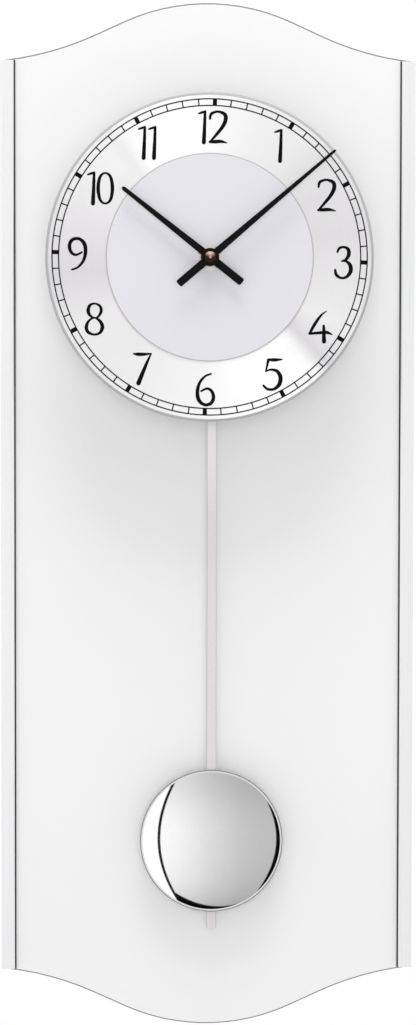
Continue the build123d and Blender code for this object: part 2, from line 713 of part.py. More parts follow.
# ---- train plate: rear bearing plate of the going train
TRAIN_PLATE_WIDTH = 35.5
TRAIN_PLATE_HEIGHT = 28.5
train_plate_middle = from_arbor(4.25, 10.25)
with BuildPart() as train_plate:
    with BuildSketch(out(PLATE_BACK)):
        with Locations(train_plate_middle):
            RectangleRounded(TRAIN_PLATE_WIDTH, TRAIN_PLATE_HEIGHT, CORNER)
        with Locations(*train_points):
            Circle(PIVOT_RADIUS + RUNNING, mode=Mode.SUBTRACT)
        with Locations(*pillar_points):
            Circle(PILLAR_HOLE, mode=Mode.SUBTRACT)
        with Locations(arbor_point):
            Circle(ARBOR_RADIUS + RUNNING, mode=Mode.SUBTRACT)
    extrude(amount=PLATE_FRONT - PLATE_BACK)
train_plate.part.label = "train_plate"
export_step(train_plate.part, "parts/train_plate.step")

# ---- train screws: three small pan heads that hold the plate on the tray's pillars
TRAIN_HEAD_RADIUS = 1.4
TRAIN_HEAD_HEIGHT = 0.8
TRAIN_SCREW_GRIP = 4.0
with BuildPart() as train_screws:
    train_head = (PLATE_BACK - TRAIN_HEAD_HEIGHT, PLATE_BACK, TRAIN_HEAD_RADIUS)
    train_shank = (PLATE_BACK, PLATE_FRONT + TRAIN_SCREW_GRIP, PILLAR_HOLE - RUNNING)
    for point in pillar_points:
        add(turned([train_head, train_shank], point))
train_screws.part.label = "train_screws"
export_step(train_screws.part, "parts/train_screws.step")

# ================================================================ electrical pieces

# ---- stator: soft iron yoke round the rotor, with the coil's core as its top bar
STATOR_LAYER = (43.5, 44.5)
STATOR_RING = 4.2
STATOR_HOLE = 3.0
YOKE_LEFT = 9.5
YOKE_RIGHT = 24.5
YOKE_TOP = 21.0
YOKE_BAR = 2.0
rotor_x = rotor_point[0]
rotor_z = rotor_point[1] - ARBOR_Z
yoke_right_middle = from_arbor(YOKE_RIGHT - YOKE_BAR / 2, (YOKE_TOP + rotor_z) / 2)
yoke_left_middle = from_arbor(YOKE_LEFT + YOKE_BAR / 2, (YOKE_TOP + rotor_z) / 2)
with BuildPart() as stator:
    with BuildSketch(out(STATOR_LAYER[0])):
        with Locations(rotor_point):
            Circle(STATOR_RING)
        with Locations(from_arbor((YOKE_LEFT + YOKE_RIGHT) / 2, YOKE_TOP - YOKE_BAR / 2)):
            Rectangle(YOKE_RIGHT - YOKE_LEFT, YOKE_BAR)
        with Locations(yoke_right_middle, yoke_left_middle):
            Rectangle(YOKE_BAR, YOKE_TOP - rotor_z)
        with Locations(from_arbor((rotor_x + YOKE_RIGHT) / 2, rotor_z + YOKE_BAR / 2)):
            Rectangle(YOKE_RIGHT - rotor_x, YOKE_BAR)
        with Locations(rotor_point):
            Circle(STATOR_HOLE, mode=Mode.SUBTRACT)
    extrude(amount=STATOR_LAYER[1] - STATOR_LAYER[0])
stator.part.label = "stator"
export_step(stator.part, "parts/stator.step")

# ---- motor coil: round winding on the yoke's top bar
COIL_RADIUS = 3.5
COIL_START = 12.0
COIL_LENGTH = 10.0
CORE_GAP = 0.1                   # between the winding and the yoke it sits on
stator_depth = sum(STATOR_LAYER) / 2
yoke_thickness = STATOR_LAYER[1] - STATOR_LAYER[0]
with BuildPart() as motor_coil:
    with BuildSketch(Plane.YZ.offset(COIL_START)):
        with Locations((-stator_depth, ARBOR_Z + YOKE_TOP - YOKE_BAR / 2)):
            Circle(COIL_RADIUS)
            Rectangle(yoke_thickness + 2 * CORE_GAP, YOKE_BAR + 2 * CORE_GAP, mode=Mode.SUBTRACT)
    extrude(amount=COIL_LENGTH)
motor_coil.part.label = "motor_coil"
export_step(motor_coil.part, "parts/motor_coil.step")

# ---- circuit board with its quartz crystal and the sealed driver chip
BOARD_LAYER = (46.0, 47.0)
BOARD_MIDDLE_Z = -41.0
BOARD_WIDTH = 44.0
BOARD_HEIGHT = 24.0
BOARD_CORNER = 1.0
with BuildPart() as circuit_board:
    with BuildSketch(out(BOARD_LAYER[0])):
        with Locations(from_arbor(0, BOARD_MIDDLE_Z)):
            RectangleRounded(BOARD_WIDTH, BOARD_HEIGHT, BOARD_CORNER)
    extrude(amount=BOARD_LAYER[1] - BOARD_LAYER[0])
circuit_board.part.label = "circuit_board"
export_step(circuit_board.part, "parts/circuit_board.step")

CRYSTAL_RADIUS = 1.0
CRYSTAL_LENGTH = 6.0
CRYSTAL_X = 8.0
CRYSTAL_Z = BOARD_MIDDLE_Z + 5
crystal_place = (-BOARD_LAYER[0] + CRYSTAL_RADIUS + RUNNING, ARBOR_Z + CRYSTAL_Z)
with BuildPart() as quartz_crystal:
    with BuildSketch(Plane.YZ.offset(CRYSTAL_X)):
        with Locations(crystal_place):
            Circle(CRYSTAL_RADIUS)
    extrude(amount=CRYSTAL_LENGTH)
quartz_crystal.part.label = "quartz_crystal"
export_step(quartz_crystal.part, "parts/quartz_crystal.step")

CHIP_X = -8.0
CHIP_RADIUS = 3.5
CHIP_HEIGHT = 1.2
CHIP_ROUNDING = 0.9
with BuildPart() as driver_chip:
    chip_step = (BOARD_LAYER[0] - CHIP_HEIGHT, BOARD_LAYER[0], CHIP_RADIUS)
    add(turned([chip_step], from_arbor(CHIP_X, BOARD_MIDDLE_Z)))
    fillet(driver_chip.edges().sort_by(Axis.Y)[-1], CHIP_ROUNDING)
driver_chip.part.label = "driver_chip"
export_step(driver_chip.part, "parts/driver_chip.step")

# ---- drive coil on its bobbin, behind which the pendulum's magnet swings
BOBBIN_BACK = CASE_BACK + LID
BOBBIN_LENGTH = 6.5
BOBBIN_RADIUS = 7.0
BOBBIN_CHEEK = 0.8
BOBBIN_CORE = 2.5
WINDING_RADIUS = 6.6
magnet_point = from_arbor(PENDULUM_X, MAGNET_Z)
with BuildPart() as coil_bobbin:
    bobbin_front = BOBBIN_BACK + BOBBIN_LENGTH
    rear_cheek = (BOBBIN_BACK, BOBBIN_BACK + BOBBIN_CHEEK, BOBBIN_RADIUS)
    core = (BOBBIN_BACK + BOBBIN_CHEEK, bobbin_front - BOBBIN_CHEEK, BOBBIN_CORE)
    front_cheek = (bobbin_front - BOBBIN_CHEEK, bobbin_front, BOBBIN_RADIUS)
    add(turned([rear_cheek, core, front_cheek], magnet_point))
coil_bobbin.part.label = "coil_bobbin"
export_step(coil_bobbin.part, "parts/coil_bobbin.step")

with BuildPart() as drive_coil:
    winding_start = BOBBIN_BACK + BOBBIN_CHEEK
    winding_end = BOBBIN_BACK + BOBBIN_LENGTH - BOBBIN_CHEEK
    add(washer(winding_start, winding_end, WINDING_RADIUS, BOBBIN_CORE + RUNNING, magnet_point))
drive_coil.part.label = "drive_coil"
export_step(drive_coil.part, "parts/drive_coil.step")

# ---- battery contacts: a flat plate at the positive end and a dimpled spring plate at the other
CONTACT_THICKNESS = 0.4
CONTACT_X = 25.6
CONTACT_HEIGHT = 12.0
CONTACT_WIDTH = 12.0
CONTACT_CORNER = 1.0
NEGATIVE_X = -26.2
DIMPLE_RADIUS = 3.5
DIMPLE_HEIGHT = 0.4
DIMPLE_SLOPE = 45
contact_place = (-CELL_DEPTH, ARBOR_Z + CELL_Z)
with BuildPart() as contact_positive:
    with BuildSketch(Plane.YZ.offset(CONTACT_X)):
        with Locations(contact_place):
            RectangleRounded(CONTACT_WIDTH, CONTACT_HEIGHT, CONTACT_CORNER)
    extrude(amount=CONTACT_THICKNESS)
contact_positive.part.label = "contact_positive"
export_step(contact_positive.part, "parts/contact_positive.step")

with BuildPart() as contact_negative:
    with BuildSketch(Plane.YZ.offset(NEGATIVE_X)):
        with Locations(contact_place):
            RectangleRounded(CONTACT_WIDTH, CONTACT_HEIGHT, CONTACT_CORNER)
    extrude(amount=CONTACT_THICKNESS)
    with BuildSketch(Plane.YZ.offset(NEGATIVE_X + CONTACT_THICKNESS)):
        with Locations(contact_place):
            Circle(DIMPLE_RADIUS)
    extrude(amount=DIMPLE_HEIGHT, taper=DIMPLE_SLOPE)
contact_negative.part.label = "contact_negative"
export_step(contact_negative.part, "parts/contact_negative.step")

# ---- battery: AA cell with its positive button at +X
BUTTON_LENGTH = 1.2
BUTTON_RADIUS = 2.7
CELL_ROUNDING = 0.6
with BuildPart() as battery:
    with BuildSketch(Plane.YZ.offset(-CELL_LENGTH / 2)):
        with Locations(contact_place):
            Circle(CELL_RADIUS)
    extrude(amount=CELL_LENGTH - BUTTON_LENGTH)
    fillet(battery.edges().filter_by(GeomType.CIRCLE), CELL_ROUNDING)
    with BuildSketch(Plane.YZ.offset(CELL_LENGTH / 2 - BUTTON_LENGTH)):
        with Locations(contact_place):
            Circle(BUTTON_RADIUS)
    extrude(amount=BUTTON_LENGTH)
battery.part.label = "battery"
export_step(battery.part, "parts/battery.step")

# ================================================================ hands and wheels

MINUTE_FRONT = MINUTE_HAND_BACK + HAND_THICKNESS
HOUR_FRONT = HOUR_HAND_BACK + HAND_THICKNESS
NUT_THREAD = 1.2
NUT_THREAD_END = 64.8

# ---- minute arbor with the cannon pinion and the threaded end for the hand nut
with BuildPart() as minute_arbor:
    shaft = (PIVOT_BACK, MINUTE_FRONT, ARBOR_RADIUS)
    thread = (MINUTE_FRONT, NUT_THREAD_END, NUT_THREAD)
    add(turned([shaft, thread], arbor_point))
    add(toothed(CANNON_LEAVES, WORK_MODULE, *MINUTE_WHEEL_LAYER, arbor_point, 0, leaf=True))
minute_arbor.part.label = "minute_arbor"
export_step(minute_arbor.part, "parts/minute_arbor.step")

# ---- minute hand
with BuildPart() as minute_hand:
    add(hand_blade(MINUTE_HAND_BACK, MINUTE_REACH, MINUTE_TIP, MINUTE_TAIL, MINUTE_ANGLE))
    add(turned([(MINUTE_BOSS_BACK, MINUTE_FRONT, HAND_BOSS)], arbor_point))
    with BuildSketch(out(MINUTE_BOSS_BACK)):
        with Locations(arbor_point):
            Circle(ARBOR_RADIUS + BUSH_CLEARANCE)
    extrude(amount=MINUTE_FRONT - MINUTE_BOSS_BACK, mode=Mode.SUBTRACT)
minute_hand.part.label = "minute_hand"
export_step(minute_hand.part, "parts/minute_hand.step")

# ---- hand nut: coned cap nut on the arbor's end
CAP_RADIUS = 3.3
CAP_COLLAR = 0.9
CAP_TIP = 0.4
CAP_FRONT = 66.5
CAP_CLEARANCE = 0.1              # past the arbor's end
with BuildPart() as hand_nut:
    add(turned([(MINUTE_FRONT, MINUTE_FRONT + CAP_COLLAR, CAP_RADIUS)], arbor_point))
    with BuildSketch(out(MINUTE_FRONT + CAP_COLLAR)):
        with Locations(arbor_point):
            Circle(CAP_RADIUS)
    with BuildSketch(out(CAP_FRONT)):
        with Locations(arbor_point):
            Circle(CAP_TIP)
    loft()
    with BuildSketch(out(MINUTE_FRONT)):
        with Locations(arbor_point):
            Circle(NUT_THREAD + BUSH_CLEARANCE)
    extrude(amount=NUT_THREAD_END - MINUTE_FRONT + CAP_CLEARANCE, mode=Mode.SUBTRACT)
hand_nut.part.label = "hand_nut"
export_step(hand_nut.part, "parts/hand_nut.step")

# ---- hour wheel with the pipe that carries the hour hand
with BuildPart() as hour_wheel:
    add(toothed(HOUR_WHEEL_TEETH, WORK_MODULE, *HOUR_WHEEL_LAYER, arbor_point, hour_wheel_turn, leaf=False))
    add(turned([(HOUR_WHEEL_LAYER[0], HOUR_FRONT, PIPE_RADIUS)], arbor_point))
    with BuildSketch(out(HOUR_WHEEL_LAYER[0])):
        with Locations(arbor_point):
            Circle(ARBOR_RADIUS + RUNNING)
    extrude(amount=HOUR_FRONT - HOUR_WHEEL_LAYER[0], mode=Mode.SUBTRACT)
hour_wheel.part.label = "hour_wheel"
export_step(hour_wheel.part, "parts/hour_wheel.step")

# ---- hour hand
with BuildPart() as hour_hand:
    add(hand_blade(HOUR_HAND_BACK, HOUR_REACH, HOUR_TIP, HOUR_TAIL, HOUR_ANGLE))
    add(turned([(HOUR_BOSS_BACK, HOUR_FRONT, HAND_BOSS)], arbor_point))
    with BuildSketch(out(HOUR_BOSS_BACK)):
        with Locations(arbor_point):
            Circle(PIPE_RADIUS + BUSH_CLEARANCE)
    extrude(amount=HOUR_FRONT - HOUR_BOSS_BACK, mode=Mode.SUBTRACT)
hour_hand.part.label = "hour_hand"
export_step(hour_hand.part, "parts/hour_hand.step")

# ---- minute wheel: turns on the tray's stud and links the cannon pinion to the hour wheel
with BuildPart() as minute_wheel:
    add(toothed(MINUTE_WHEEL_TEETH, WORK_MODULE, *MINUTE_WHEEL_LAYER, minute_wheel_point,
                minute_wheel_turn, leaf=False))
    add(toothed(MINUTE_PINION_LEAVES, WORK_MODULE, MINUTE_WHEEL_LAYER[1], HOUR_WHEEL_LAYER[1] + OVERHANG,
                minute_wheel_point, 0, leaf=True))
    with BuildSketch(out(MINUTE_WHEEL_LAYER[0])):
        with Locations(minute_wheel_point):
            Circle(STUD_RADIUS + RUNNING)
    extrude(amount=HOUR_WHEEL_LAYER[1] + OVERHANG - MINUTE_WHEEL_LAYER[0], mode=Mode.SUBTRACT)
minute_wheel.part.label = "minute_wheel"
export_step(minute_wheel.part, "parts/minute_wheel.step")

# ---- setting knob: fluted knob behind the case, its shaft and its pinion, moulded in one
KNOB_RADIUS = 6.0
KNOB_HEIGHT = 4.0
KNOB_GAP = 0.1
KNOB_FLUTES = 18
FLUTE_RADIUS = 0.5
with BuildPart() as setting_knob:
    knob_back = CASE_BACK - KNOB_GAP - KNOB_HEIGHT
    shaft = (knob_back, MINUTE_WHEEL_LAYER[0] - OVERHANG, SETTING_SHAFT)
    pivot = (MINUTE_WHEEL_LAYER[0] - OVERHANG, PIVOT_FRONT, SETTING_PIVOT)
    add(turned([(knob_back, CASE_BACK - KNOB_GAP, KNOB_RADIUS)], setting_point))
    with BuildSketch(out(knob_back)):
        with Locations(setting_point):
            with PolarLocations(KNOB_RADIUS, KNOB_FLUTES):
                Circle(FLUTE_RADIUS)
    extrude(amount=KNOB_HEIGHT, mode=Mode.SUBTRACT)
    add(turned([shaft, pivot], setting_point))
    add(toothed(SETTING_LEAVES, WORK_MODULE, *MINUTE_WHEEL_LAYER, setting_point, setting_turn, leaf=True))
setting_knob.part.label = "setting_knob"
export_step(setting_knob.part, "parts/setting_knob.step")

# ---- centre wheel: drives the minute arbor through a friction fit
with BuildPart() as centre_wheel:
    add(toothed(CENTRE_TEETH, WORK_MODULE, *CENTRE_LAYER, arbor_point, 0, leaf=False))
    with BuildSketch(out(CENTRE_LAYER[0])):
        with Locations(arbor_point):
            Circle(ARBOR_RADIUS + RUNNING)
    extrude(amount=CENTRE_LAYER[1] - CENTRE_LAYER[0], mode=Mode.SUBTRACT)
centre_wheel.part.label = "centre_wheel"
export_step(centre_wheel.part, "parts/centre_wheel.step")


def train_wheel(point, teeth, module, layer, leaves, pinion_module, pinion_layer, pinion_turn):
    """Wheel and pinion of the going train, on their own arbor."""
    with BuildPart() as piece:
        add(toothed(teeth, module, *layer, point, 0, leaf=False))
        pinion_start = pinion_layer[0] - OVERHANG
        pinion_end = pinion_layer[1] + OVERHANG
        add(toothed(leaves, pinion_module, pinion_start, pinion_end, point, pinion_turn, leaf=True))
        add(turned([(PIVOT_BACK, PIVOT_FRONT, PIVOT_RADIUS)], point))
        # A hub joins the wheel to its pinion
        hub_radius = leaves * pinion_module / 2 - DEDENDUM * pinion_module
        add(turned([(layer[0], pinion_end, hub_radius)], point))
    return piece.part


# ---- third wheel
with BuildPart() as third_wheel:
    add(train_wheel(third_point, THIRD_TEETH, THIRD_MODULE, THIRD_LAYER, DRIVE_LEAVES, WORK_MODULE,
                    CENTRE_LAYER, third_pinion_turn))
third_wheel.part.label = "third_wheel"
export_step(third_wheel.part, "parts/third_wheel.step")

# ---- second wheel
with BuildPart() as second_wheel:
    add(train_wheel(second_point, SECOND_TEETH, SECOND_MODULE, SECOND_LAYER, DRIVE_LEAVES, THIRD_MODULE,
                    THIRD_LAYER, second_pinion_turn))
second_wheel.part.label = "second_wheel"
export_step(second_wheel.part, "parts/second_wheel.step")

# ---- intermediate wheel
with BuildPart() as intermediate_wheel:
    add(train_wheel(intermediate_point, INTERMEDIATE_TEETH, ROTOR_MODULE, INTERMEDIATE_LAYER,
                    INTERMEDIATE_LEAVES, SECOND_MODULE, SECOND_LAYER, intermediate_pinion_turn))
intermediate_wheel.part.label = "intermediate_wheel"
export_step(intermediate_wheel.part, "parts/intermediate_wheel.step")

# ---- rotor pinion and the magnet pressed on its arbor
MAGNET_LAYER = (42.5, 45.5)
ROTOR_MAGNET_RADIUS = 2.6
with BuildPart() as rotor_pinion:
    add(turned([(PIVOT_BACK, PIVOT_FRONT, PIVOT_RADIUS)], rotor_point))
    rotor_start = INTERMEDIATE_LAYER[0] - OVERHANG
    rotor_end = INTERMEDIATE_LAYER[1] + OVERHANG
    add(toothed(ROTOR_LEAVES, ROTOR_MODULE, rotor_start, rotor_end, rotor_point, rotor_turn, leaf=True))
rotor_pinion.part.label = "rotor_pinion"
export_step(rotor_pinion.part, "parts/rotor_pinion.step")

with BuildPart() as rotor_magnet:
    add(washer(*MAGNET_LAYER, ROTOR_MAGNET_RADIUS, PIVOT_RADIUS + BUSH_CLEARANCE, rotor_point))
rotor_magnet.part.label = "rotor_magnet"
export_step(rotor_magnet.part, "parts/rotor_magnet.step")

# ================================================================ pendulum

# ---- suspension pin: fixed in the lid, with a head inside and a clip behind the lever
PIN_HEAD = 2.0
PIN_HEAD_HEIGHT = 0.8
PIN_BACK = 25.9
pivot_point = from_arbor(PENDULUM_X, PIVOT_Z)
with BuildPart() as suspension_pin:
    pin_shank = (PIN_BACK, CASE_BACK + LID, PIN_RADIUS)
    pin_head = (CASE_BACK + LID, CASE_BACK + LID + PIN_HEAD_HEIGHT, PIN_HEAD)
    add(turned([pin_shank, pin_head], pivot_point))
suspension_pin.part.label = "suspension_pin"
export_step(suspension_pin.part, "parts/suspension_pin.step")

CLIP_BACK = 26.4
CLIP_FRONT = 27.3
CLIP_RADIUS = 2.2
with BuildPart() as pin_clip:
    add(washer(CLIP_BACK, CLIP_FRONT, CLIP_RADIUS, PIN_RADIUS + BUSH_CLEARANCE, pivot_point))
pin_clip.part.label = "pin_clip"
export_step(pin_clip.part, "parts/pin_clip.step")

# ---- pendulum lever: moulded arm on the pin, with the magnet's seat and the hook for the rod
LEVER_WIDTH = 8.0
SEAT_RADIUS = 5.5
LEVER_MAGNET_RADIUS = 4.0
SEAT_FLOOR = 0.5
HOOK_RADIUS = 1.5
HOOK_HEAD_RADIUS = 2.5
HOOK_HEAD = (24.9, 25.9)
hook_point = from_arbor(PENDULUM_X, HOOK_Z)
with BuildPart() as pendulum_lever:
    with BuildSketch(out(LEVER_BACK)):
        with Locations(from_arbor(PENDULUM_X, (PIVOT_Z + MAGNET_Z) / 2)):
            SlotCenterToCenter(PIVOT_Z - MAGNET_Z, LEVER_WIDTH, rotation=90)
        with Locations(magnet_point):
            Circle(SEAT_RADIUS)
        with Locations(pivot_point):
            Circle(PIN_RADIUS + RUNNING, mode=Mode.SUBTRACT)
    extrude(amount=LEVER_FRONT - LEVER_BACK)
    with BuildSketch(out(LEVER_BACK + SEAT_FLOOR)):
        with Locations(magnet_point):
            Circle(LEVER_MAGNET_RADIUS + BUSH_CLEARANCE)
    extrude(amount=LEVER_FRONT - LEVER_BACK - SEAT_FLOOR, mode=Mode.SUBTRACT)
    add(turned([(*HOOK_HEAD, HOOK_HEAD_RADIUS), (HOOK_HEAD[1], LEVER_BACK, HOOK_RADIUS)], hook_point))
pendulum_lever.part.label = "pendulum_lever"
export_step(pendulum_lever.part, "parts/pendulum_lever.step")

with BuildPart() as lever_magnet:
    add(turned([(LEVER_BACK + SEAT_FLOOR, LEVER_FRONT, LEVER_MAGNET_RADIUS)], magnet_point))
lever_magnet.part.label = "lever_magnet"
export_step(lever_magnet.part, "parts/lever_magnet.step")

# ---- pendulum rod: flat strip with a keyhole eye at the top and a shallow point at the bottom
EYE_WIDTH = 11.0
EYE_TOP = HOOK_Z + 4.5
EYE_BOTTOM = HOOK_Z - 12.0
EYE_SLOT = HOOK_RADIUS + BUSH_CLEARANCE
EYE_ENTRY = HOOK_Z - 6.5
ENTRY_RADIUS = 2.8
TIP_DROP = 2.2
with BuildPart() as pendulum_rod:
    with BuildSketch(out(ROD_BACK)):
        with Locations(from_arbor(PENDULUM_X, (EYE_TOP + EYE_BOTTOM) / 2)):
            RectangleRounded(EYE_WIDTH, EYE_TOP - EYE_BOTTOM, CORNER)
        with Locations(from_arbor(PENDULUM_X, 0)):
            Polygon(
                (-ROD_WIDTH / 2, EYE_ENTRY),
                (-ROD_WIDTH / 2, ROD_TIP_Z + TIP_DROP),
                (0, ROD_TIP_Z),
                (ROD_WIDTH / 2, ROD_TIP_Z + TIP_DROP),
                (ROD_WIDTH / 2, EYE_ENTRY),
                align=None,
            )
        with Locations(from_arbor(PENDULUM_X, EYE_ENTRY)):
            Circle(ENTRY_RADIUS, mode=Mode.SUBTRACT)
        with Locations(from_arbor(PENDULUM_X, (HOOK_Z + EYE_ENTRY) / 2)):
            SlotCenterToCenter(HOOK_Z - EYE_ENTRY, 2 * EYE_SLOT, rotation=90, mode=Mode.SUBTRACT)
    extrude(amount=ROD_FRONT - ROD_BACK)
pendulum_rod.part.label = "pendulum_rod"
export_step(pendulum_rod.part, "parts/pendulum_rod.step")

# ---- bob: chromed dome, its back, the weight inside and the clip that slides on the rod
bob_point = from_arbor(PENDULUM_X, BOB_Z)
shell_back = BOB_BACK + BOB_WALL
dome_back = shell_back + BOB_WALL
with BuildPart() as bob_shell:
    add(turned([(shell_back, dome_back, BOB_RADIUS)], bob_point))
    add(dome(dome_back, BOB_RADIUS - BOB_RIM, BOB_HEIGHT, bob_point))
    add(dome(shell_back, BOB_RADIUS - BOB_RIM - BOB_WALL, BOB_HEIGHT, bob_point), mode=Mode.SUBTRACT)
bob_shell.part.label = "bob_shell"
export_step(bob_shell.part, "parts/bob_shell.step")

with BuildPart() as bob_back:
    add(turned([(BOB_BACK, shell_back, BOB_RADIUS)], bob_point))
bob_back.part.label = "bob_back"
export_step(bob_back.part, "parts/bob_back.step")

BOB_WEIGHT_RADIUS = 25.0
BOB_WEIGHT_HEIGHT = 4.0
with BuildPart() as bob_weight:
    add(turned([(shell_back, shell_back + BOB_WEIGHT_HEIGHT, BOB_WEIGHT_RADIUS)], bob_point))
bob_weight.part.label = "bob_weight"
export_step(bob_weight.part, "parts/bob_weight.step")

CLIP_WALL = 0.8
CLIP_GAP = 0.1
CLIP_FLANGE = 5.0
CLIP_LENGTH = 24.0
clip_inner = ROD_WIDTH / 2 + CLIP_GAP
clip_back = ROD_BACK - CLIP_GAP
with BuildPart() as bob_clip:
    clip_right = (
        (clip_inner + CLIP_FLANGE, -BOB_BACK),
        (clip_inner, -BOB_BACK),
        (clip_inner, -clip_back),
    )
    clip_outside = (
        (clip_inner + CLIP_WALL, -clip_back + CLIP_WALL),
        (clip_inner + CLIP_WALL, -BOB_BACK + CLIP_WALL),
        (clip_inner + CLIP_FLANGE, -BOB_BACK + CLIP_WALL),
    )
    inside_left = [(-x, y) for x, y in reversed(clip_right)]
    outside_left = [(-x, y) for x, y in reversed(clip_outside)]
    with BuildSketch(Plane.XY.offset(bob_point[1] - CLIP_LENGTH / 2)):
        with Locations((PENDULUM_X, 0)):
            Polygon(*clip_right, *inside_left, *outside_left, *clip_outside, align=None)
    extrude(amount=CLIP_LENGTH)
bob_clip.part.label = "bob_clip"
export_step(bob_clip.part, "parts/bob_clip.step")
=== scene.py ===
"""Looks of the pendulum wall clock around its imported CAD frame. Metres: the clock faces -Y and +Z is up."""
import json
import math

import bmesh
import bpy
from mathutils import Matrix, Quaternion, Vector


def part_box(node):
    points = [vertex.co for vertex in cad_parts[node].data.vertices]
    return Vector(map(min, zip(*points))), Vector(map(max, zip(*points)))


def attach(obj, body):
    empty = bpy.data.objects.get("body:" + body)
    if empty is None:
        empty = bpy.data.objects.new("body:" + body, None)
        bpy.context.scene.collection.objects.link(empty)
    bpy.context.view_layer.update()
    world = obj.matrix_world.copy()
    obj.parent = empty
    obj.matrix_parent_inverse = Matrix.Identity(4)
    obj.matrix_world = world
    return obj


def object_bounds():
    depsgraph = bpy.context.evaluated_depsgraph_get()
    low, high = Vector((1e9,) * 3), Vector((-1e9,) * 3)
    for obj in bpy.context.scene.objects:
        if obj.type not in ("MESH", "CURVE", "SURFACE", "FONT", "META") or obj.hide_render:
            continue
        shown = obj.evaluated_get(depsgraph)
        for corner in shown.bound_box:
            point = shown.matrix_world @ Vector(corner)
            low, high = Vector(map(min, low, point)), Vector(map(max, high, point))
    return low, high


MM = 0.001

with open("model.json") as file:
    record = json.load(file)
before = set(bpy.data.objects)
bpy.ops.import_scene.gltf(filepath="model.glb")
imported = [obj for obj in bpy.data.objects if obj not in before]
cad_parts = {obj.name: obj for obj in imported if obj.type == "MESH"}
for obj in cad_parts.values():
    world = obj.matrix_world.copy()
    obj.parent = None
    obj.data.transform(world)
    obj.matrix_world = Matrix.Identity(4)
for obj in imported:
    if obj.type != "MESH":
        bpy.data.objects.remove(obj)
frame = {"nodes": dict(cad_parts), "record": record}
cad_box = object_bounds()
nodes = frame["nodes"]

# ---------------------------------------------------------------- places worked out from the frame
dial_low, dial_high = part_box("dial_plate")
DIAL_X = (dial_low.x + dial_high.x) / 2
DIAL_Z = (dial_low.z + dial_high.z) / 2
DIAL_FRONT = dial_low.y
DIAL_RADIUS = (dial_high.x - dial_low.x) / 2
bob_low, bob_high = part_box("bob_shell")
BOB_MIDDLE = (bob_low + bob_high) / 2
BOB_RADIUS = (bob_high.x - bob_low.x) / 2
BOB_RIM = 1.5 * MM               # flat ring round the dome
BOB_RISE = 8.5 * MM              # of the dome above its rim
DOME_RADIUS = BOB_RADIUS - BOB_RIM
DOME_SPHERE = (DOME_RADIUS ** 2 + BOB_RISE ** 2) / (2 * BOB_RISE)
panel_low, panel_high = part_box("glass_panel")
CLOCK_MIDDLE = Vector((0, panel_low.y, (panel_low.z + panel_high.z) / 2))

# The printed dial is fitted a touch clockwise of upright
DIAL_TURN = math.radians(1.8)
TRACK_OUTER = 93.5 * MM
TRACK_INNER = 89.6 * MM
TRACK_LINE = 0.72 * MM
MINUTE_TICK = 0.75 * MM
HOUR_TICK = 2.5 * MM
NUMERAL_CIRCLE = 77.6 * MM
STROKE_WEIGHT = 1.44             # of every figure's written stroke widths
FIGURE_HEIGHT = 0.955            # of every figure's written height
INK_HEIGHT = 0.08 * MM
INK_SUNK = 0.02 * MM             # of the ink's foot under the dial's face
TICK_HEIGHT = INK_HEIGHT * 0.9   # so that the ticks stay under the circles they cross
LAYER_LIFT = 0.004 * MM          # of each further stroke over the one before it
RING_STEPS = 240                 # straight runs in each of the track's circles
WIRE_PITCH = 0.28 * MM           # of the coils' turns


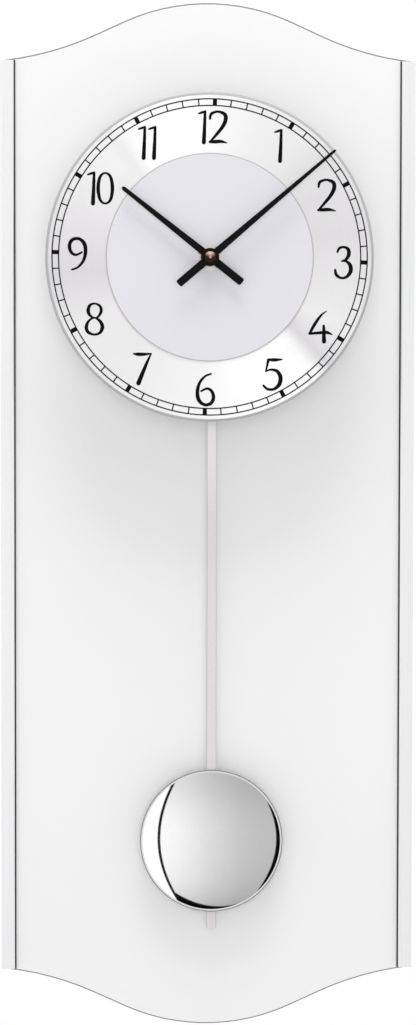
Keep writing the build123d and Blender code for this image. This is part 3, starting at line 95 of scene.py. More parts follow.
# ---------------------------------------------------------------- node helpers
class Nodes:
    """Short calls to add and join nodes in one tree."""

    def __init__(self, tree):
        self.tree = tree
        self.tree.nodes.clear()

    def add(self, kind, inputs=None, **settings):
        node = self.tree.nodes.new("ShaderNode" + kind)
        for name, value in settings.items():
            setattr(node, name, value)
        for key, value in (inputs or {}).items():
            self.feed(node.inputs[key], value)
        return node

    def feed(self, socket, value):
        if isinstance(value, bpy.types.NodeSocket):
            self.tree.links.new(value, socket)
        else:
            socket.default_value = value

    def math(self, operation, *values, clamp=False):
        node = self.add("Math", operation=operation, use_clamp=clamp)
        for socket, value in zip(node.inputs, values):
            self.feed(socket, value)
        return node.outputs[0]

    def between(self, value, start, end, low=0.0, high=1.0, smooth=True):
        """low before start, high after end, and a smooth or straight rise from one to the other."""
        kind = "SMOOTHSTEP" if smooth else "LINEAR"
        inputs = {"Value": value, "From Min": start, "From Max": end, "To Min": low, "To Max": high}
        return self.add("MapRange", inputs, interpolation_type=kind).outputs["Result"]

    def mix(self, factor, a, b):
        """Blend of two colours, which are sockets 6 and 7 of a Mix node, and its output 2."""
        node = self.add("Mix", {0: factor, 6: a, 7: b}, data_type="RGBA")
        return node.outputs[2]

    def mix_vectors(self, factor, a, b):
        """Blend of two vectors, which are sockets 4 and 5 of a Mix node, and its output 1."""
        node = self.add("Mix", {0: factor, 4: a, 5: b}, data_type="VECTOR")
        return node.outputs[1]

    def ramp(self, factor, stops):
        """Colour ramp from (position, (r, g, b)) stops."""
        node = self.add("ValToRGB", {"Fac": factor})
        elements = node.color_ramp.elements
        while len(elements) < len(stops):
            elements.new(0.5)
        for element, (position, colour) in zip(elements, stops):
            element.position = position
            element.color = (*colour, 1)
        return node.outputs["Color"]

    def place(self):
        """Position in the clock's own frame."""
        return self.add("TexCoord").outputs["Object"]

    def stretched(self, x, y, z):
        """Position scaled by a number of cells per metre along each axis."""
        node = self.add("VectorMath", {0: self.place(), 1: (x, y, z)}, operation="MULTIPLY")
        return node.outputs[0]

    def noise(self, vector, scale=1.0, detail=3.0, roughness=0.5):
        inputs = {"Vector": vector, "Scale": scale, "Detail": detail, "Roughness": roughness}
        return self.add("TexNoise", inputs).outputs["Fac"]

    def from_axis(self, centre):
        """(x, z, distance) from an axis along Y through centre."""
        split = self.add("SeparateXYZ", {0: self.place()})
        x = self.math("SUBTRACT", split.outputs["X"], centre[0])
        z = self.math("SUBTRACT", split.outputs["Z"], centre[1])
        squares = self.math("ADD", self.math("MULTIPLY", x, x), self.math("MULTIPLY", z, z))
        distance = self.math("SQRT", squares)
        return x, z, distance

    def bump(self, height, distance, strength=1.0):
        inputs = {"Height": height, "Distance": distance, "Strength": strength}
        return self.add("Bump", inputs).outputs["Normal"]


def grey(level):
    return (level, level, level)


def new_material(name):
    """(material, its nodes, its shader)."""
    material = bpy.data.materials.new(name)
    material.use_nodes = True
    n = Nodes(material.node_tree)
    surface = n.add("BsdfPrincipled")
    output = n.add("OutputMaterial")
    n.tree.links.new(surface.outputs[0], output.inputs["Surface"])
    return material, n, surface


def shade(surface, n, **values):
    """Sets or links the shader's inputs; an underscore in a name stands for a space."""
    for name, value in values.items():
        n.feed(surface.inputs[name.replace("_", " ")], value)


# ---------------------------------------------------------------- materials
def plain(name, light, dark, cells, smooth, rough, relief, metallic=0.0, **constants):
    """Finish whose colour, gloss and relief all follow one fine noise."""
    material, n, surface = new_material(name)
    grain = n.noise(n.stretched(cells, cells, cells), detail=4.0)
    shade(
        surface, n,
        Base_Color=n.mix(grain, (*dark, 1), (*light, 1)),
        Metallic=metallic,
        Roughness=n.between(grain, 0.3, 0.7, smooth, rough, smooth=False),
        Normal=n.bump(grain, relief * MM),
        **constants,
    )
    return material


def brushed_aluminium():
    """Extruded profile: fine drawn lines that run up and down."""
    material, n, surface = new_material("brushed_aluminium")
    lines = n.noise(n.stretched(2600, 2600, 5), detail=5.0, roughness=0.65)
    broad = n.noise(n.stretched(160, 160, 3), detail=2.0)
    colour = n.mix(lines, (0.84, 0.84, 0.85, 1), (0.98, 0.98, 0.99, 1))
    shade(
        surface, n,
        Base_Color=n.mix(n.between(broad, 0.35, 0.65, 0.0, 0.25), colour, (0.90, 0.90, 0.91, 1)),
        Metallic=0.43,
        Roughness=n.between(lines, 0.3, 0.7, 0.26, 0.42, smooth=False),
        Normal=n.bump(lines, 0.004 * MM, 0.6),
    )
    return material


def satin_aluminium():
    """Pendulum rod: bead-blasted strip with fine sparkle and faint draw marks, painted shade along its edges
    and painted light towards its top.
    """
    material, n, surface = new_material("satin_aluminium")
    low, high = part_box("pendulum_rod")
    split = n.add("SeparateXYZ", {0: n.place()})
    aside = n.math("ABSOLUTE", n.math("SUBTRACT", split.outputs["X"], (low.x + high.x) / 2))
    # Painted shade: darker along both edges of the rod
    painted_rod_edge_shade = n.between(aside, 2.3 * MM, 2.8 * MM, 0.0, 0.55)
    # Painted light: the rod's colour brightens towards its top, under the dial
    painted_rod_top_light = n.between(split.outputs["Z"], high.z - 130 * MM, high.z - 50 * MM)
    sparkle = n.noise(n.stretched(2200, 2200, 2200), detail=2.0, roughness=0.6)
    drawn = n.noise(n.stretched(900, 900, 12), detail=3.0)
    colour = n.mix(n.between(sparkle, 0.35, 0.68), (0.68, 0.65, 0.655, 1), (0.88, 0.85, 0.855, 1))
    face = n.mix(n.between(drawn, 0.4, 0.7, 0.0, 0.35), colour, (0.82, 0.79, 0.795, 1))
    face = n.mix(painted_rod_top_light, face, (1.0, 0.96, 0.97, 1))
    shade(
        surface, n,
        Base_Color=n.mix(painted_rod_edge_shade, face, (0.42, 0.41, 0.41, 1)),
        Metallic=0.35,
        Roughness=n.between(sparkle, 0.3, 0.7, 0.38, 0.55, smooth=False),
        Normal=n.bump(sparkle, 0.02 * MM, 0.7),
    )
    return material


# Level of the spun ring's painted sheen, its light and shade painted into its colour by clock angle: one fan
# is full near 155 degrees and one near 350, each begins at a crisp darker line, and both fade slowly
# clockwise
PAINTED_SHEEN = (
    (0, 0.95), (20, 0.85), (80, 0.72), (118, 0.84), (131, 0.69), (137, 0.95), (142, 1.0), (168, 1.0),
    (180, 0.92), (222, 0.82), (242, 0.81), (262, 0.69), (300, 0.82), (315, 0.87), (321, 0.83), (328, 0.98),
    (350, 1.0), (360, 0.95),
)
LILAC_CAST = 1.07                # power that takes a little green from the ring's darker quarters


def spun_aluminium():
    """Dial: circular spun grain, with a painted sheen that opens in two fans, near the top and the bottom."""
    material, n, surface = new_material("spun_aluminium")
    x, z, distance = n.from_axis((DIAL_X, DIAL_Z))
    around = n.math("DIVIDE", n.math("ARCTAN2", x, z), 2 * math.pi)
    turn = n.math("FRACT", n.math("ADD", around, 1.0))
    drift = n.noise(n.stretched(18, 18, 18), detail=1.0)
    turn = n.math("ADD", turn, n.math("MULTIPLY", n.math("SUBTRACT", drift, 0.5), 0.02))
    # Painted sheen: the fans' light and shade are painted into the ring's colour
    painted_sheen = n.ramp(turn, [(angle / 360, (level, level ** LILAC_CAST, level)) for angle, level in PAINTED_SHEEN])
    grooves = {"X": n.math("MULTIPLY", distance, 2400.0), "Y": n.math("MULTIPLY", turn, 6.0)}
    lines = n.noise(n.add("CombineXYZ", grooves).outputs[0], detail=4.0, roughness=0.7)
    face = n.mix(n.between(lines, 0.3, 0.75, 0.0, 0.05), painted_sheen, (0.45, 0.45, 0.46, 1))
    # Painted shade: a darker band round the dial's rolled rim
    rim_shade_and_roll_lines = n.between(distance, DIAL_RADIUS - 2.0 * MM, DIAL_RADIUS - 1.2 * MM, 0.0, 0.9)
    shade(
        surface, n,
        Base_Color=n.mix(rim_shade_and_roll_lines, face, (0.40, 0.40, 0.41, 1)),
        Metallic=0.22,
        Roughness=n.between(lines, 0.3, 0.7, 0.32, 0.42, smooth=False),
        Anisotropic=0.6,
        Anisotropic_Rotation=0.25,
        Tangent=n.add("Tangent", direction_type="RADIAL", axis="Y").outputs[0],
        Normal=n.bump(lines, 0.003 * MM, 0.5),
    )
    return material


def matt_silver():
    """Centre disc: matt lilac-grey lacquer with very fine flake, and a painted shade line round its edge."""
    material, n, surface = new_material("matt_silver")
    flake = n.noise(n.stretched(3200, 3200, 3200), detail=2.0)
    cloud = n.noise(n.stretched(9, 9, 9), detail=1.0)
    lacquer = n.mix(cloud, (0.735, 0.725, 0.775, 1), (0.775, 0.765, 0.81, 1))
    face = n.mix(n.between(flake, 0.35, 0.7, 0.0, 0.25), lacquer, (0.83, 0.82, 0.86, 1))
    low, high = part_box("centre_disc")
    radius = (high.x - low.x) / 2
    distance = n.from_axis((DIAL_X, DIAL_Z))[2]
    # Painted shade: a darker line round the disc's edge
    edge = n.between(distance, radius - 0.9 * MM, radius - 0.5 * MM)
    shade(
        surface, n,
        Base_Color=n.mix(edge, face, (0.52, 0.48, 0.475, 1)),
        Metallic=0.15,
        Roughness=n.between(flake, 0.3, 0.7, 0.5, 0.62, smooth=False),
        Normal=n.bump(flake, 0.006 * MM, 0.5),
    )
    return material


def white_glass():
    """Panel: clear float glass lacquered white behind, with a grey-green ground arris and edge that are
    darkened with painted shade.
    """
    material, n, surface = new_material("white_glass")
    facing = n.add("SeparateXYZ", {0: n.add("TexCoord").outputs["Normal"]}).outputs["Y"]
    edge = n.between(n.math("ABSOLUTE", facing), 0.97, 0.85)
    ground = n.noise(n.stretched(1500, 1500, 1500), detail=3.0)
    paint = n.noise(n.stretched(7, 7, 7), detail=2.0)
    face = n.mix(paint, (0.862, 0.862, 0.862, 1), (0.878, 0.878, 0.88, 1))
    # The arris and edge: grey-green glass, darkened further by painted shade
    edge_tint_and_painted_shade = n.mix(ground, (0.09, 0.098, 0.095, 1), (0.18, 0.19, 0.185, 1))
    shade(
        surface, n,
        Base_Color=n.mix(edge, face, edge_tint_and_painted_shade),
        Roughness=n.between(edge, 0.0, 1.0, 0.12, 0.38),
        IOR=1.5,
        Coat_Weight=0.4,
        Coat_Roughness=0.03,
        Normal=n.bump(n.math("MULTIPLY", ground, edge), 0.02 * MM, 0.5),
    )
    return material


def fibreboard():
    """Backing board: matt brown fibres with soft patches."""
    material, n, surface = new_material("fibreboard")
    fibre = n.noise(n.stretched(700, 200, 700), detail=6.0, roughness=0.7)
    patch = n.noise(n.stretched(25, 25, 25), detail=2.0)
    colour = n.mix(fibre, (0.40, 0.28, 0.17, 1), (0.66, 0.52, 0.36, 1))
    shade(
        surface, n,
        Base_Color=n.mix(n.between(patch, 0.3, 0.7, 0.0, 0.3), colour, (0.52, 0.40, 0.27, 1)),
        Roughness=n.between(fibre, 0.3, 0.7, 0.75, 0.9, smooth=False),
        Normal=n.bump(fibre, 0.08 * MM, 0.6),
    )
    return material


def beech():
    """Hanger block: pale hardwood with short dark pores."""
    material, n, surface = new_material("beech")
    grain = n.noise(n.stretched(60, 500, 900), detail=5.0, roughness=0.6)
    pores = n.noise(n.stretched(250, 1600, 2600), detail=2.0)
    colour = n.mix(grain, (0.42, 0.25, 0.13, 1), (0.72, 0.52, 0.33, 1))
    shade(
        surface, n,
        Base_Color=n.mix(n.between(pores, 0.62, 0.7, 0.0, 0.6), colour, (0.25, 0.14, 0.07, 1)),
        Roughness=n.between(grain, 0.3, 0.7, 0.5, 0.65, smooth=False),
        Normal=n.bump(pores, 0.04 * MM, 0.5),
    )
    return material


def chrome():
    """Bob: polished chromium with the faintest polishing haze, and painted shade where its edge is rolled
    over.
    """
    material, n, surface = new_material("chrome")
    haze = n.noise(n.stretched(300, 300, 300), detail=4.0)
    hairlines = n.noise(n.stretched(60, 60, 2500), detail=2.0)
    distance = n.from_axis((BOB_MIDDLE.x, BOB_MIDDLE.z))[2]
    polish = n.mix(haze, (0.93, 0.93, 0.93, 1), (0.97, 0.97, 0.97, 1))
    # Painted shade: a dark band round the bob's rolled edge
    rim_shade_and_roll_lines = n.between(distance, BOB_RADIUS - 0.75 * MM, BOB_RADIUS - 0.35 * MM)
    # The dome's normal comes from its sphere, so that no facet shows in the polish
    heart = (BOB_MIDDLE.x, bob_low.y + DOME_SPHERE, BOB_MIDDLE.z)
    outward = n.add("VectorMath", {0: n.place(), 1: heart}, operation="SUBTRACT").outputs[0]
    to_world = {"vector_type": "NORMAL", "convert_from": "OBJECT", "convert_to": "WORLD"}
    turned = n.add("VectorTransform", {0: outward}, **to_world).outputs[0]
    dome_normal = n.add("VectorMath", {0: turned}, operation="NORMALIZE").outputs[0]
    on_dome = n.math("LESS_THAN", distance, DOME_RADIUS)
    shade(
        surface, n,
        Base_Color=n.mix(rim_shade_and_roll_lines, polish, (0.30, 0.30, 0.30, 1)),
        Metallic=1.0,
        Roughness=n.between(hairlines, 0.3, 0.75, 0.02, 0.05, smooth=False),
        Normal=n.mix_vectors(on_dome, n.add("NewGeometry").outputs["Normal"], dome_normal),
    )
    return material


def turned_metal(name, light, dark, centre, smooth, rough, relief=0.004):
    """Lathe-turned metal: fine rings round an axis along Y."""
    material, n, surface = new_material(name)
    distance = n.from_axis(centre)[2]
    depth = n.add("SeparateXYZ", {0: n.place()}).outputs["Y"]
    rings = {"X": n.math("MULTIPLY", distance, 4200.0), "Y": n.math("MULTIPLY", depth, 4200.0)}
    lines = n.noise(n.add("CombineXYZ", rings).outputs[0], detail=3.0, roughness=0.6)
    stain = n.noise(n.stretched(400, 400, 400), detail=2.0)
    tarnish = n.math("MULTIPLY", n.math("ADD", lines, stain), 0.5)
    shade(
        surface, n,
        Base_Color=n.mix(tarnish, (*dark, 1), (*light, 1)),
        Metallic=1.0,
        Roughness=n.between(lines, 0.3, 0.7, smooth, rough, smooth=False),
        Normal=n.bump(lines, relief * MM, 0.6),
    )
    return material


def coned_brass():
    """Nut on the hands: reddish brass, with a painted highlight at its point, painted light towards the top
    and painted shade, nearly black, below.
    """
    material, n, surface = new_material("coned_brass")
    x, z, distance = n.from_axis((DIAL_X, DIAL_Z))
    rings = n.noise(n.add("CombineXYZ", {"X": n.math("MULTIPLY", distance, 3600.0)}).outputs[0], detail=3.0)
    # Painted light on the nut's upper side, painted shade below it
    aside = n.math("MULTIPLY", n.math("ABSOLUTE", x), 0.6)
    painted_nut_top_light = n.between(n.math("SUBTRACT", z, aside), -1.2 * MM, 2.4 * MM)
    # Painted highlight at the nut's point
    point = n.between(distance, 1.1 * MM, 0.3 * MM, 0.0, 0.9)
    bright = n.mix(rings, (0.55, 0.33, 0.24, 1), (0.95, 0.66, 0.52, 1))
    shade(
        surface, n,
        Base_Color=n.mix(n.math("MAXIMUM", painted_nut_top_light, point), (0.030, 0.014, 0.012, 1), bright),
        Metallic=1.0,
        Roughness=n.between(rings, 0.3, 0.7, 0.12, 0.26, smooth=False),
        Normal=n.bump(rings, 0.004 * MM, 0.6),
    )
    return material


def zinc_steel():
    """Zinc plate: faint bluish spangle over fine rolling lines."""
    material, n, surface = new_material("zinc_steel")
    spangle = n.add("TexVoronoi", {"Vector": n.stretched(260, 260, 260), "Scale": 1.0}).outputs["Color"]
    level = n.add("SeparateColor", {0: spangle}).outputs[0]
    rim_shade_and_roll_lines = n.noise(n.stretched(40, 900, 2200), detail=3.0)
    colour = n.mix(level, (0.58, 0.60, 0.63, 1), (0.76, 0.77, 0.78, 1))
    shade(
        surface, n,
        Base_Color=n.mix(n.between(rim_shade_and_roll_lines, 0.4, 0.7, 0.0, 0.4), colour, (0.66, 0.66, 0.68, 1)),
        Metallic=1.0,
        Roughness=n.between(level, 0.0, 1.0, 0.3, 0.42, smooth=False),
        Normal=n.bump(rim_shade_and_roll_lines, 0.006 * MM, 0.5),
    )
    return material


def copper_winding(name, axis):
    """Enamelled wire in close turns along an axis."""
    material, n, surface = new_material(name)
    split = n.add("SeparateXYZ", {0: n.place()})
    along = n.math("SINE", n.math("MULTIPLY", split.outputs[axis], 2 * math.pi / WIRE_PITCH))
    wander = n.noise(n.stretched(500, 500, 500), detail=2.0)
    level = n.math("MULTIPLY", n.math("ADD", along, wander), 0.5, clamp=True)
    shade(
        surface, n,
        Base_Color=n.mix(level, (0.35, 0.12, 0.05, 1), (0.80, 0.38, 0.20, 1)),
        Metallic=0.85,
        Roughness=n.between(wander, 0.3, 0.7, 0.22, 0.36, smooth=False),
        Normal=n.bump(along, 0.06 * MM, 0.7),
    )
    return material


def green_board():
    """Circuit board: solder mask over raised tracks."""
    material, n, surface = new_material("green_board")
    inputs = {"Vector": n.stretched(220, 1, 220), "Scale": 1.0, "Mortar Size": 0.06, "Brick Width": 1.7}
    brick = n.add("TexBrick", inputs)
    weave = n.noise(n.stretched(1800, 1800, 1800), detail=2.0)
    shade(
        surface, n,
        Base_Color=n.mix(brick.outputs["Fac"], (0.035, 0.20, 0.09, 1), (0.09, 0.36, 0.17, 1)),
        Roughness=n.between(weave, 0.3, 0.7, 0.25, 0.4, smooth=False),
        Normal=n.bump(brick.outputs["Fac"], 0.03 * MM, 0.6),
    )
    return material


def battery_sleeve():
    """Plain two-tone shrink sleeve between bare nickel ends."""
    material, n, surface = new_material("battery_sleeve")
    low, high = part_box("battery")
    along = n.add("SeparateXYZ", {0: n.place()}).outputs["X"]
    wrinkle = n.noise(n.stretched(60, 500, 500), detail=3.0)
    band = n.between(along, high.x - 16 * MM, high.x - 15.6 * MM)
    sleeve = n.mix(band, (0.03, 0.035, 0.045, 1), (0.62, 0.36, 0.12, 1))
    bare_top = n.between(along, high.x - 2.2 * MM, high.x - 2.0 * MM)
    bare_foot = n.between(along, low.x + 0.7 * MM, low.x + 0.5 * MM)
    bare = n.math("MAXIMUM", bare_top, bare_foot)
    shade(
        surface, n,
        Base_Color=n.mix(bare, sleeve, (0.74, 0.72, 0.68, 1)),
        Metallic=bare,
        Roughness=n.between(wrinkle, 0.3, 0.7, 0.2, 0.34, smooth=False),
        Normal=n.bump(wrinkle, 0.03 * MM, 0.4),
    )
    return material


def make_materials():
    """Every look, by the name of its slot in the record or in OWN_LOOK."""
    dial_centre = (DIAL_X, DIAL_Z)
    return {
        "brushed_aluminium": brushed_aluminium(),
        "satin_aluminium": satin_aluminium(),
        "spun_aluminium": spun_aluminium(),
        "matt_silver": matt_silver(),
        "white_glass": white_glass(),
        "board": fibreboard(),
        "hardwood": beech(),
        "black_rubber": plain("black_rubber", grey(0.035), grey(0.018), 1400, 0.65, 0.85, 0.03),
        "clear_nylon": plain("clear_nylon", grey(0.88), (0.80, 0.82, 0.82), 900, 0.25, 0.4, 0.01,
                             Subsurface_Weight=0.3, Subsurface_Radius=(0.002, 0.002, 0.002)),
        "zinc_steel": zinc_steel(),
        "screw_steel": plain("screw_steel", grey(0.68), grey(0.48), 1800, 0.25, 0.42, 0.01, metallic=1.0),
        "black_ink": plain("black_ink", grey(0.006), grey(0.002), 2600, 0.45, 0.6, 0.004,
                           Specular_IOR_Level=0.05),
        "black_lacquer": plain("black_lacquer", grey(0.006), grey(0.003), 1600, 0.38, 0.5, 0.01,
                               Specular_IOR_Level=0.08),
        "coned_brass": coned_brass(),
        "nickel_washer": turned_metal("nickel_washer", (0.95, 0.93, 0.91), (0.85, 0.83, 0.80), dial_centre,
                                      0.2, 0.34),
        "brass": turned_metal("brass", (0.80, 0.62, 0.34), (0.58, 0.42, 0.20), dial_centre, 0.2, 0.36),
        "black_plastic": plain("black_plastic", grey(0.040), grey(0.022), 1500, 0.42, 0.6, 0.03),
        "white_acetal": plain("white_acetal", (0.88, 0.87, 0.82), (0.80, 0.79, 0.74), 700, 0.3, 0.42, 0.01,
                              Subsurface_Weight=0.15, Subsurface_Radius=(0.002, 0.002, 0.0015)),
        "magnet": plain("magnet", grey(0.34), grey(0.22), 900, 0.3, 0.5, 0.03, metallic=0.9),
        "motor_winding": copper_winding("motor_winding", "X"),
        "drive_winding": copper_winding("drive_winding", "Y"),
        "green_board": green_board(),
        "chrome": chrome(),
        "cell_wrap": battery_sleeve(),
    }


# ---------------------------------------------------------------- materials on the CAD nodes
OWN_LOOK = {"pendulum_rod": "satin_aluminium", "motor_coil": "motor_winding", "drive_coil": "drive_winding"}


def dress_nodes(materials):
    """Each CAD node takes the look of its record slot, or its own."""
    for part in frame["record"]["subparts"]:
        name = part["node"]
        look = materials[OWN_LOOK.get(name) or part["material_slot"]]
        for slot in nodes[name].material_slots:
            slot.material = look


# ---------------------------------------------------------------- the dial's print
def smooth_line(points, closed, steps=7):
    """Points of (x, z, width) with a smooth run of more such points between them."""
    count = len(points)
    line = []
    for index in range(count if closed else count - 1):
        if closed:
            around = [points[(index + offset) % count] for offset in (-1, 0, 1, 2)]
        else:
            around = [points[min(max(index + offset, 0), count - 1)] for offset in (-1, 0, 1, 2)]
        before, start, end, after = (Vector(point) for point in around)
        for step in range(steps):
            t = step / steps
            line.append(
                0.5 * (2 * start + (end - before) * t + (2 * before - 5 * start + 4 * end - after) * t ** 2
                       + (3 * start - before - 3 * end + after) * t ** 3)
            )
    if not closed:
        line.append(Vector(points[-1]))
    return line


def rounded_end(point, direction, width):
    """Stations that close a stroke in a half circle beyond its end."""
    return [
        (point + direction * (width / 2 * math.sin(angle)), width * math.cos(angle))
        for angle in (math.radians(30), math.radians(60), math.radians(84))
    ]


def ink_section(mesh, left, right, top):
    """Four corners across a printed line, from just under the dial's face up to top."""
    foot = DIAL_FRONT + INK_SUNK
    corners = ((left, foot), (left, top), (right, top), (right, foot))
    return [mesh.verts.new((place.x, depth, place.y)) for place, depth in corners]


def join_sections(mesh, sections, closed):
    """Skins each section to the next, and the last to the first when closed."""
    pairs = list(zip(sections, sections[1:]))
    if closed:
        pairs.append((sections[-1], sections[0]))
    for section, following in pairs:
        for corner in range(4):
            beside = (corner + 1) % 4
            mesh.faces.new((section[corner], section[beside], following[beside], following[corner]))


def add_stroke(mesh, points, centre, closed, lift):
    """Raised ink stroke along (x, z, width) points counted in millimetres from centre."""
    written = [(x, z * FIGURE_HEIGHT, width * STROKE_WEIGHT) for x, z, width in points]
    line = smooth_line(written, closed)
    count = len(line)
    stations = []
    for index, (x, z, width) in enumerate(line):
        if closed:
            ahead, behind = line[(index + 1) % count], line[index - 1]
        else:
            ahead, behind = line[min(index + 1, count - 1)], line[max(index - 1, 0)]
        direction = Vector((ahead.x - behind.x, ahead.y - behind.y)).normalized()
        stations.append((Vector((x, z)), direction, width))
    if not closed:
        first, last = stations[0], stations[-1]
        start = [(p, first[1], w) for p, w in rounded_end(first[0], -first[1], first[2])]
        end = [(p, last[1], w) for p, w in rounded_end(last[0], last[1], last[2])]
        stations = list(reversed(start)) + stations + end
    top = DIAL_FRONT - INK_HEIGHT - lift
    sections = []
    for point, direction, width in stations:
        side = Vector((-direction.y, direction.x)) * (width / 2)
        left, right = centre + (point + side) * MM, centre + (point - side) * MM
        sections.append(ink_section(mesh, left, right, top))
    join_sections(mesh, sections, closed)
    if not closed:
        mesh.faces.new(sections[0])
        mesh.faces.new(list(reversed(sections[-1])))


def clock_point(angle, radius):
    """Point of the dial's face at an angle clockwise from twelve."""
    return Vector((DIAL_X + radius * math.sin(angle), DIAL_Z + radius * math.cos(angle)))


def add_ink_piece(name, build, material):
    """One printed piece, made by build(mesh), that rides on the case."""
    mesh = bmesh.new()
    build(mesh)
    bmesh.ops.recalc_face_normals(mesh, faces=mesh.faces)
    data = bpy.data.meshes.new(name)
    mesh.to_mesh(data)
    mesh.free()
    piece = bpy.data.objects.new(name, data)
    bpy.context.scene.collection.objects.link(piece)
    data.materials.append(material)
    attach(piece, "case")
    return piece


def track_ring(radius):
    """Build function for one of the minute track's circles."""
    def build(mesh):
        sections = []
        for step in range(RING_STEPS):
            angle = 2 * math.pi * step / RING_STEPS
            inner = clock_point(angle, radius - TRACK_LINE / 2)
            outer = clock_point(angle, radius + TRACK_LINE / 2)
            sections.append(ink_section(mesh, inner, outer, DIAL_FRONT - INK_HEIGHT))
        join_sections(mesh, sections, closed=True)
    return build


def track_tick(minute):
    """Build function for one tick of the minute track, heavy at the hours."""
    def build(mesh):
        angle = math.radians(6 * minute) + DIAL_TURN
        width = HOUR_TICK if minute % 5 == 0 else MINUTE_TICK
        along = Vector((math.sin(angle), math.cos(angle)))
        side = Vector((along.y, -along.x)) * (width / 2)
        inner = clock_point(angle, TRACK_INNER)
        outer = clock_point(angle, TRACK_OUTER)
        outline = (inner - side, inner + side, outer + side, outer - side)
        top, foot = DIAL_FRONT - TICK_HEIGHT, DIAL_FRONT + INK_SUNK
        low = [mesh.verts.new((p.x, foot, p.y)) for p in outline]
        high = [mesh.verts.new((p.x, top, p.y)) for p in outline]
        mesh.faces.new(high)
        mesh.faces.new(list(reversed(low)))
        for corner in range(4):
            beside = (corner + 1) % 4
            mesh.faces.new((low[corner], low[beside], high[beside], high[corner]))
    return build


# Strokes of each figure as (x, z, width) in millimetres from the figure's middle; a loop closes on itself
SIX = [(3.2, 9.6, 0.8), (-0.2, 8.2, 0.9), (-3.4, 4.3, 1.2), (-4.8, -1.0, 1.5), (-4.1, -6.4, 1.6),
       (-0.8, -9.5, 1.3), (3.0, -8.8, 1.4), (4.7, -5.3, 1.5), (3.7, -1.2, 1.3), (0.9, 0.5, 1.0),
       (-2.6, -1.1, 0.8)]
FIGURES = {
    "0": {"loops": [[(0, 9.4, 0.8), (3.1, 7.0, 1.2), (4.2, 0, 1.5), (3.1, -7.0, 1.2),
                     (0, -9.4, 0.8), (-3.1, -7.0, 1.2), (-4.2, 0, 1.5), (-3.1, 7.0, 1.2)]]},
    "1": {"lines": [[(-2.4, 8.4, 0.7), (-0.4, 9.1, 1.0), (1.3, 9.7, 0.8)],
                    [(1.3, 9.6, 1.1), (1.0, 0, 1.4), (0.6, -9.4, 1.7)]]},
    "2": {"lines": [[(-4.8, 5.2, 0.9), (-4.0, 8.2, 1.2), (-0.3, 9.6, 1.0), (3.8, 8.1, 1.5), (4.5, 4.7, 1.7),
                     (2.6, 0.2, 1.5), (-1.2, -4.8, 1.2), (-4.7, -9.0, 0.8)],
                    [(-4.9, -9.1, 1.0), (-1.5, -8.9, 1.5), (1.8, -8.8, 1.3), (5.3, -9.6, 0.4)]]},
    "3": {"lines": [[(-3.4, 6.6, 0.9), (-2.2, 8.9, 1.1), (0.6, 9.6, 1.0), (3.1, 8.0, 1.5), (3.2, 4.5, 1.6),
                     (1.4, 1.7, 1.1), (-0.8, 0.9, 0.7)],
                    [(-0.8, 0.9, 0.7), (1.8, 0.8, 1.0), (4.2, -1.7, 1.6), (4.4, -5.6, 1.7), (2.0, -8.9, 1.2),
                     (-1.3, -9.5, 1.0), (-4.0, -7.6, 1.3), (-4.7, -4.6, 1.0)]]},
    "4": {"lines": [[(3.6, 9.7, 0.3), (0.2, 7.0, 0.9), (-3.6, 1.4, 1.3), (-6.6, -4.4, 1.0)],
                    [(-6.7, -4.4, 1.0), (-1.0, -3.9, 1.2), (3.4, -3.6, 1.4), (6.9, -5.0, 0.4)],
                    [(1.8, 0.4, 1.1), (1.9, -4.8, 1.5), (2.0, -9.2, 1.8)]]},
    "5": {"lines": [[(-2.5, 9.0, 1.0), (1.5, 8.9, 1.4), (5.7, 9.2, 0.5)],
                    [(-2.5, 8.9, 1.2), (-3.2, 5.4, 0.9), (-4.1, 1.7, 0.6)],
                    [(-4.1, 1.7, 0.6), (-1.2, 2.8, 0.9), (2.6, 1.9, 1.4), (4.7, -1.7, 1.7), (4.1, -6.2, 1.7),
                     (1.0, -9.2, 1.2), (-2.8, -9.3, 1.1), (-5.4, -7.1, 0.9)]]},
    "6": {"lines": [SIX]},
    "7": {"lines": [[(-5.3, 9.2, 0.5), (-2.6, 8.9, 1.4), (1.6, 8.9, 1.2), (5.4, 9.4, 0.5)],
                    [(5.3, 9.2, 0.6), (3.2, 4.6, 1.1), (0.4, -2.4, 1.6), (-2.2, -9.1, 1.9)]]},
    "8": {"loops": [[(0.2, 9.6, 0.8), (3.2, 8.1, 1.1), (4.0, 5.1, 1.3), (2.6, 2.0, 1.0),
                     (0.2, 0.6, 0.7), (-2.7, 2.4, 1.2), (-3.7, 5.2, 1.5), (-2.7, 8.5, 1.2)],
                    [(0.0, 0.8, 0.8), (3.4, -1.4, 1.3), (4.7, -5.0, 1.6), (3.2, -8.5, 1.2),
                     (-0.2, -9.6, 0.9), (-3.7, -8.1, 1.3), (-4.8, -5.0, 1.5), (-3.4, -1.2, 1.0)]]},
    "9": {"lines": [[(-x, -z, width) for x, z, width in SIX]]},
}
# Where each digit's middle lies from its numeral's middle, in millimetres
DIGIT_PLACES = {10: [-4.4, 3.5], 11: [-3.2, 2.9], 12: [-6.7, 2.3]}
# How far to the right and up the print sets some numerals off their circle, in millimetres
NUMERAL_SHIFT = {2: (0.8, 0.1), 3: (1.6, -0.5), 5: (0.7, -0.8), 6: (0, -0.7), 7: (0.8, 0),
                 9: (-0.9, -0.7), 10: (0.5, -0.3), 11: (0, -0.9), 12: (0, -0.8)}


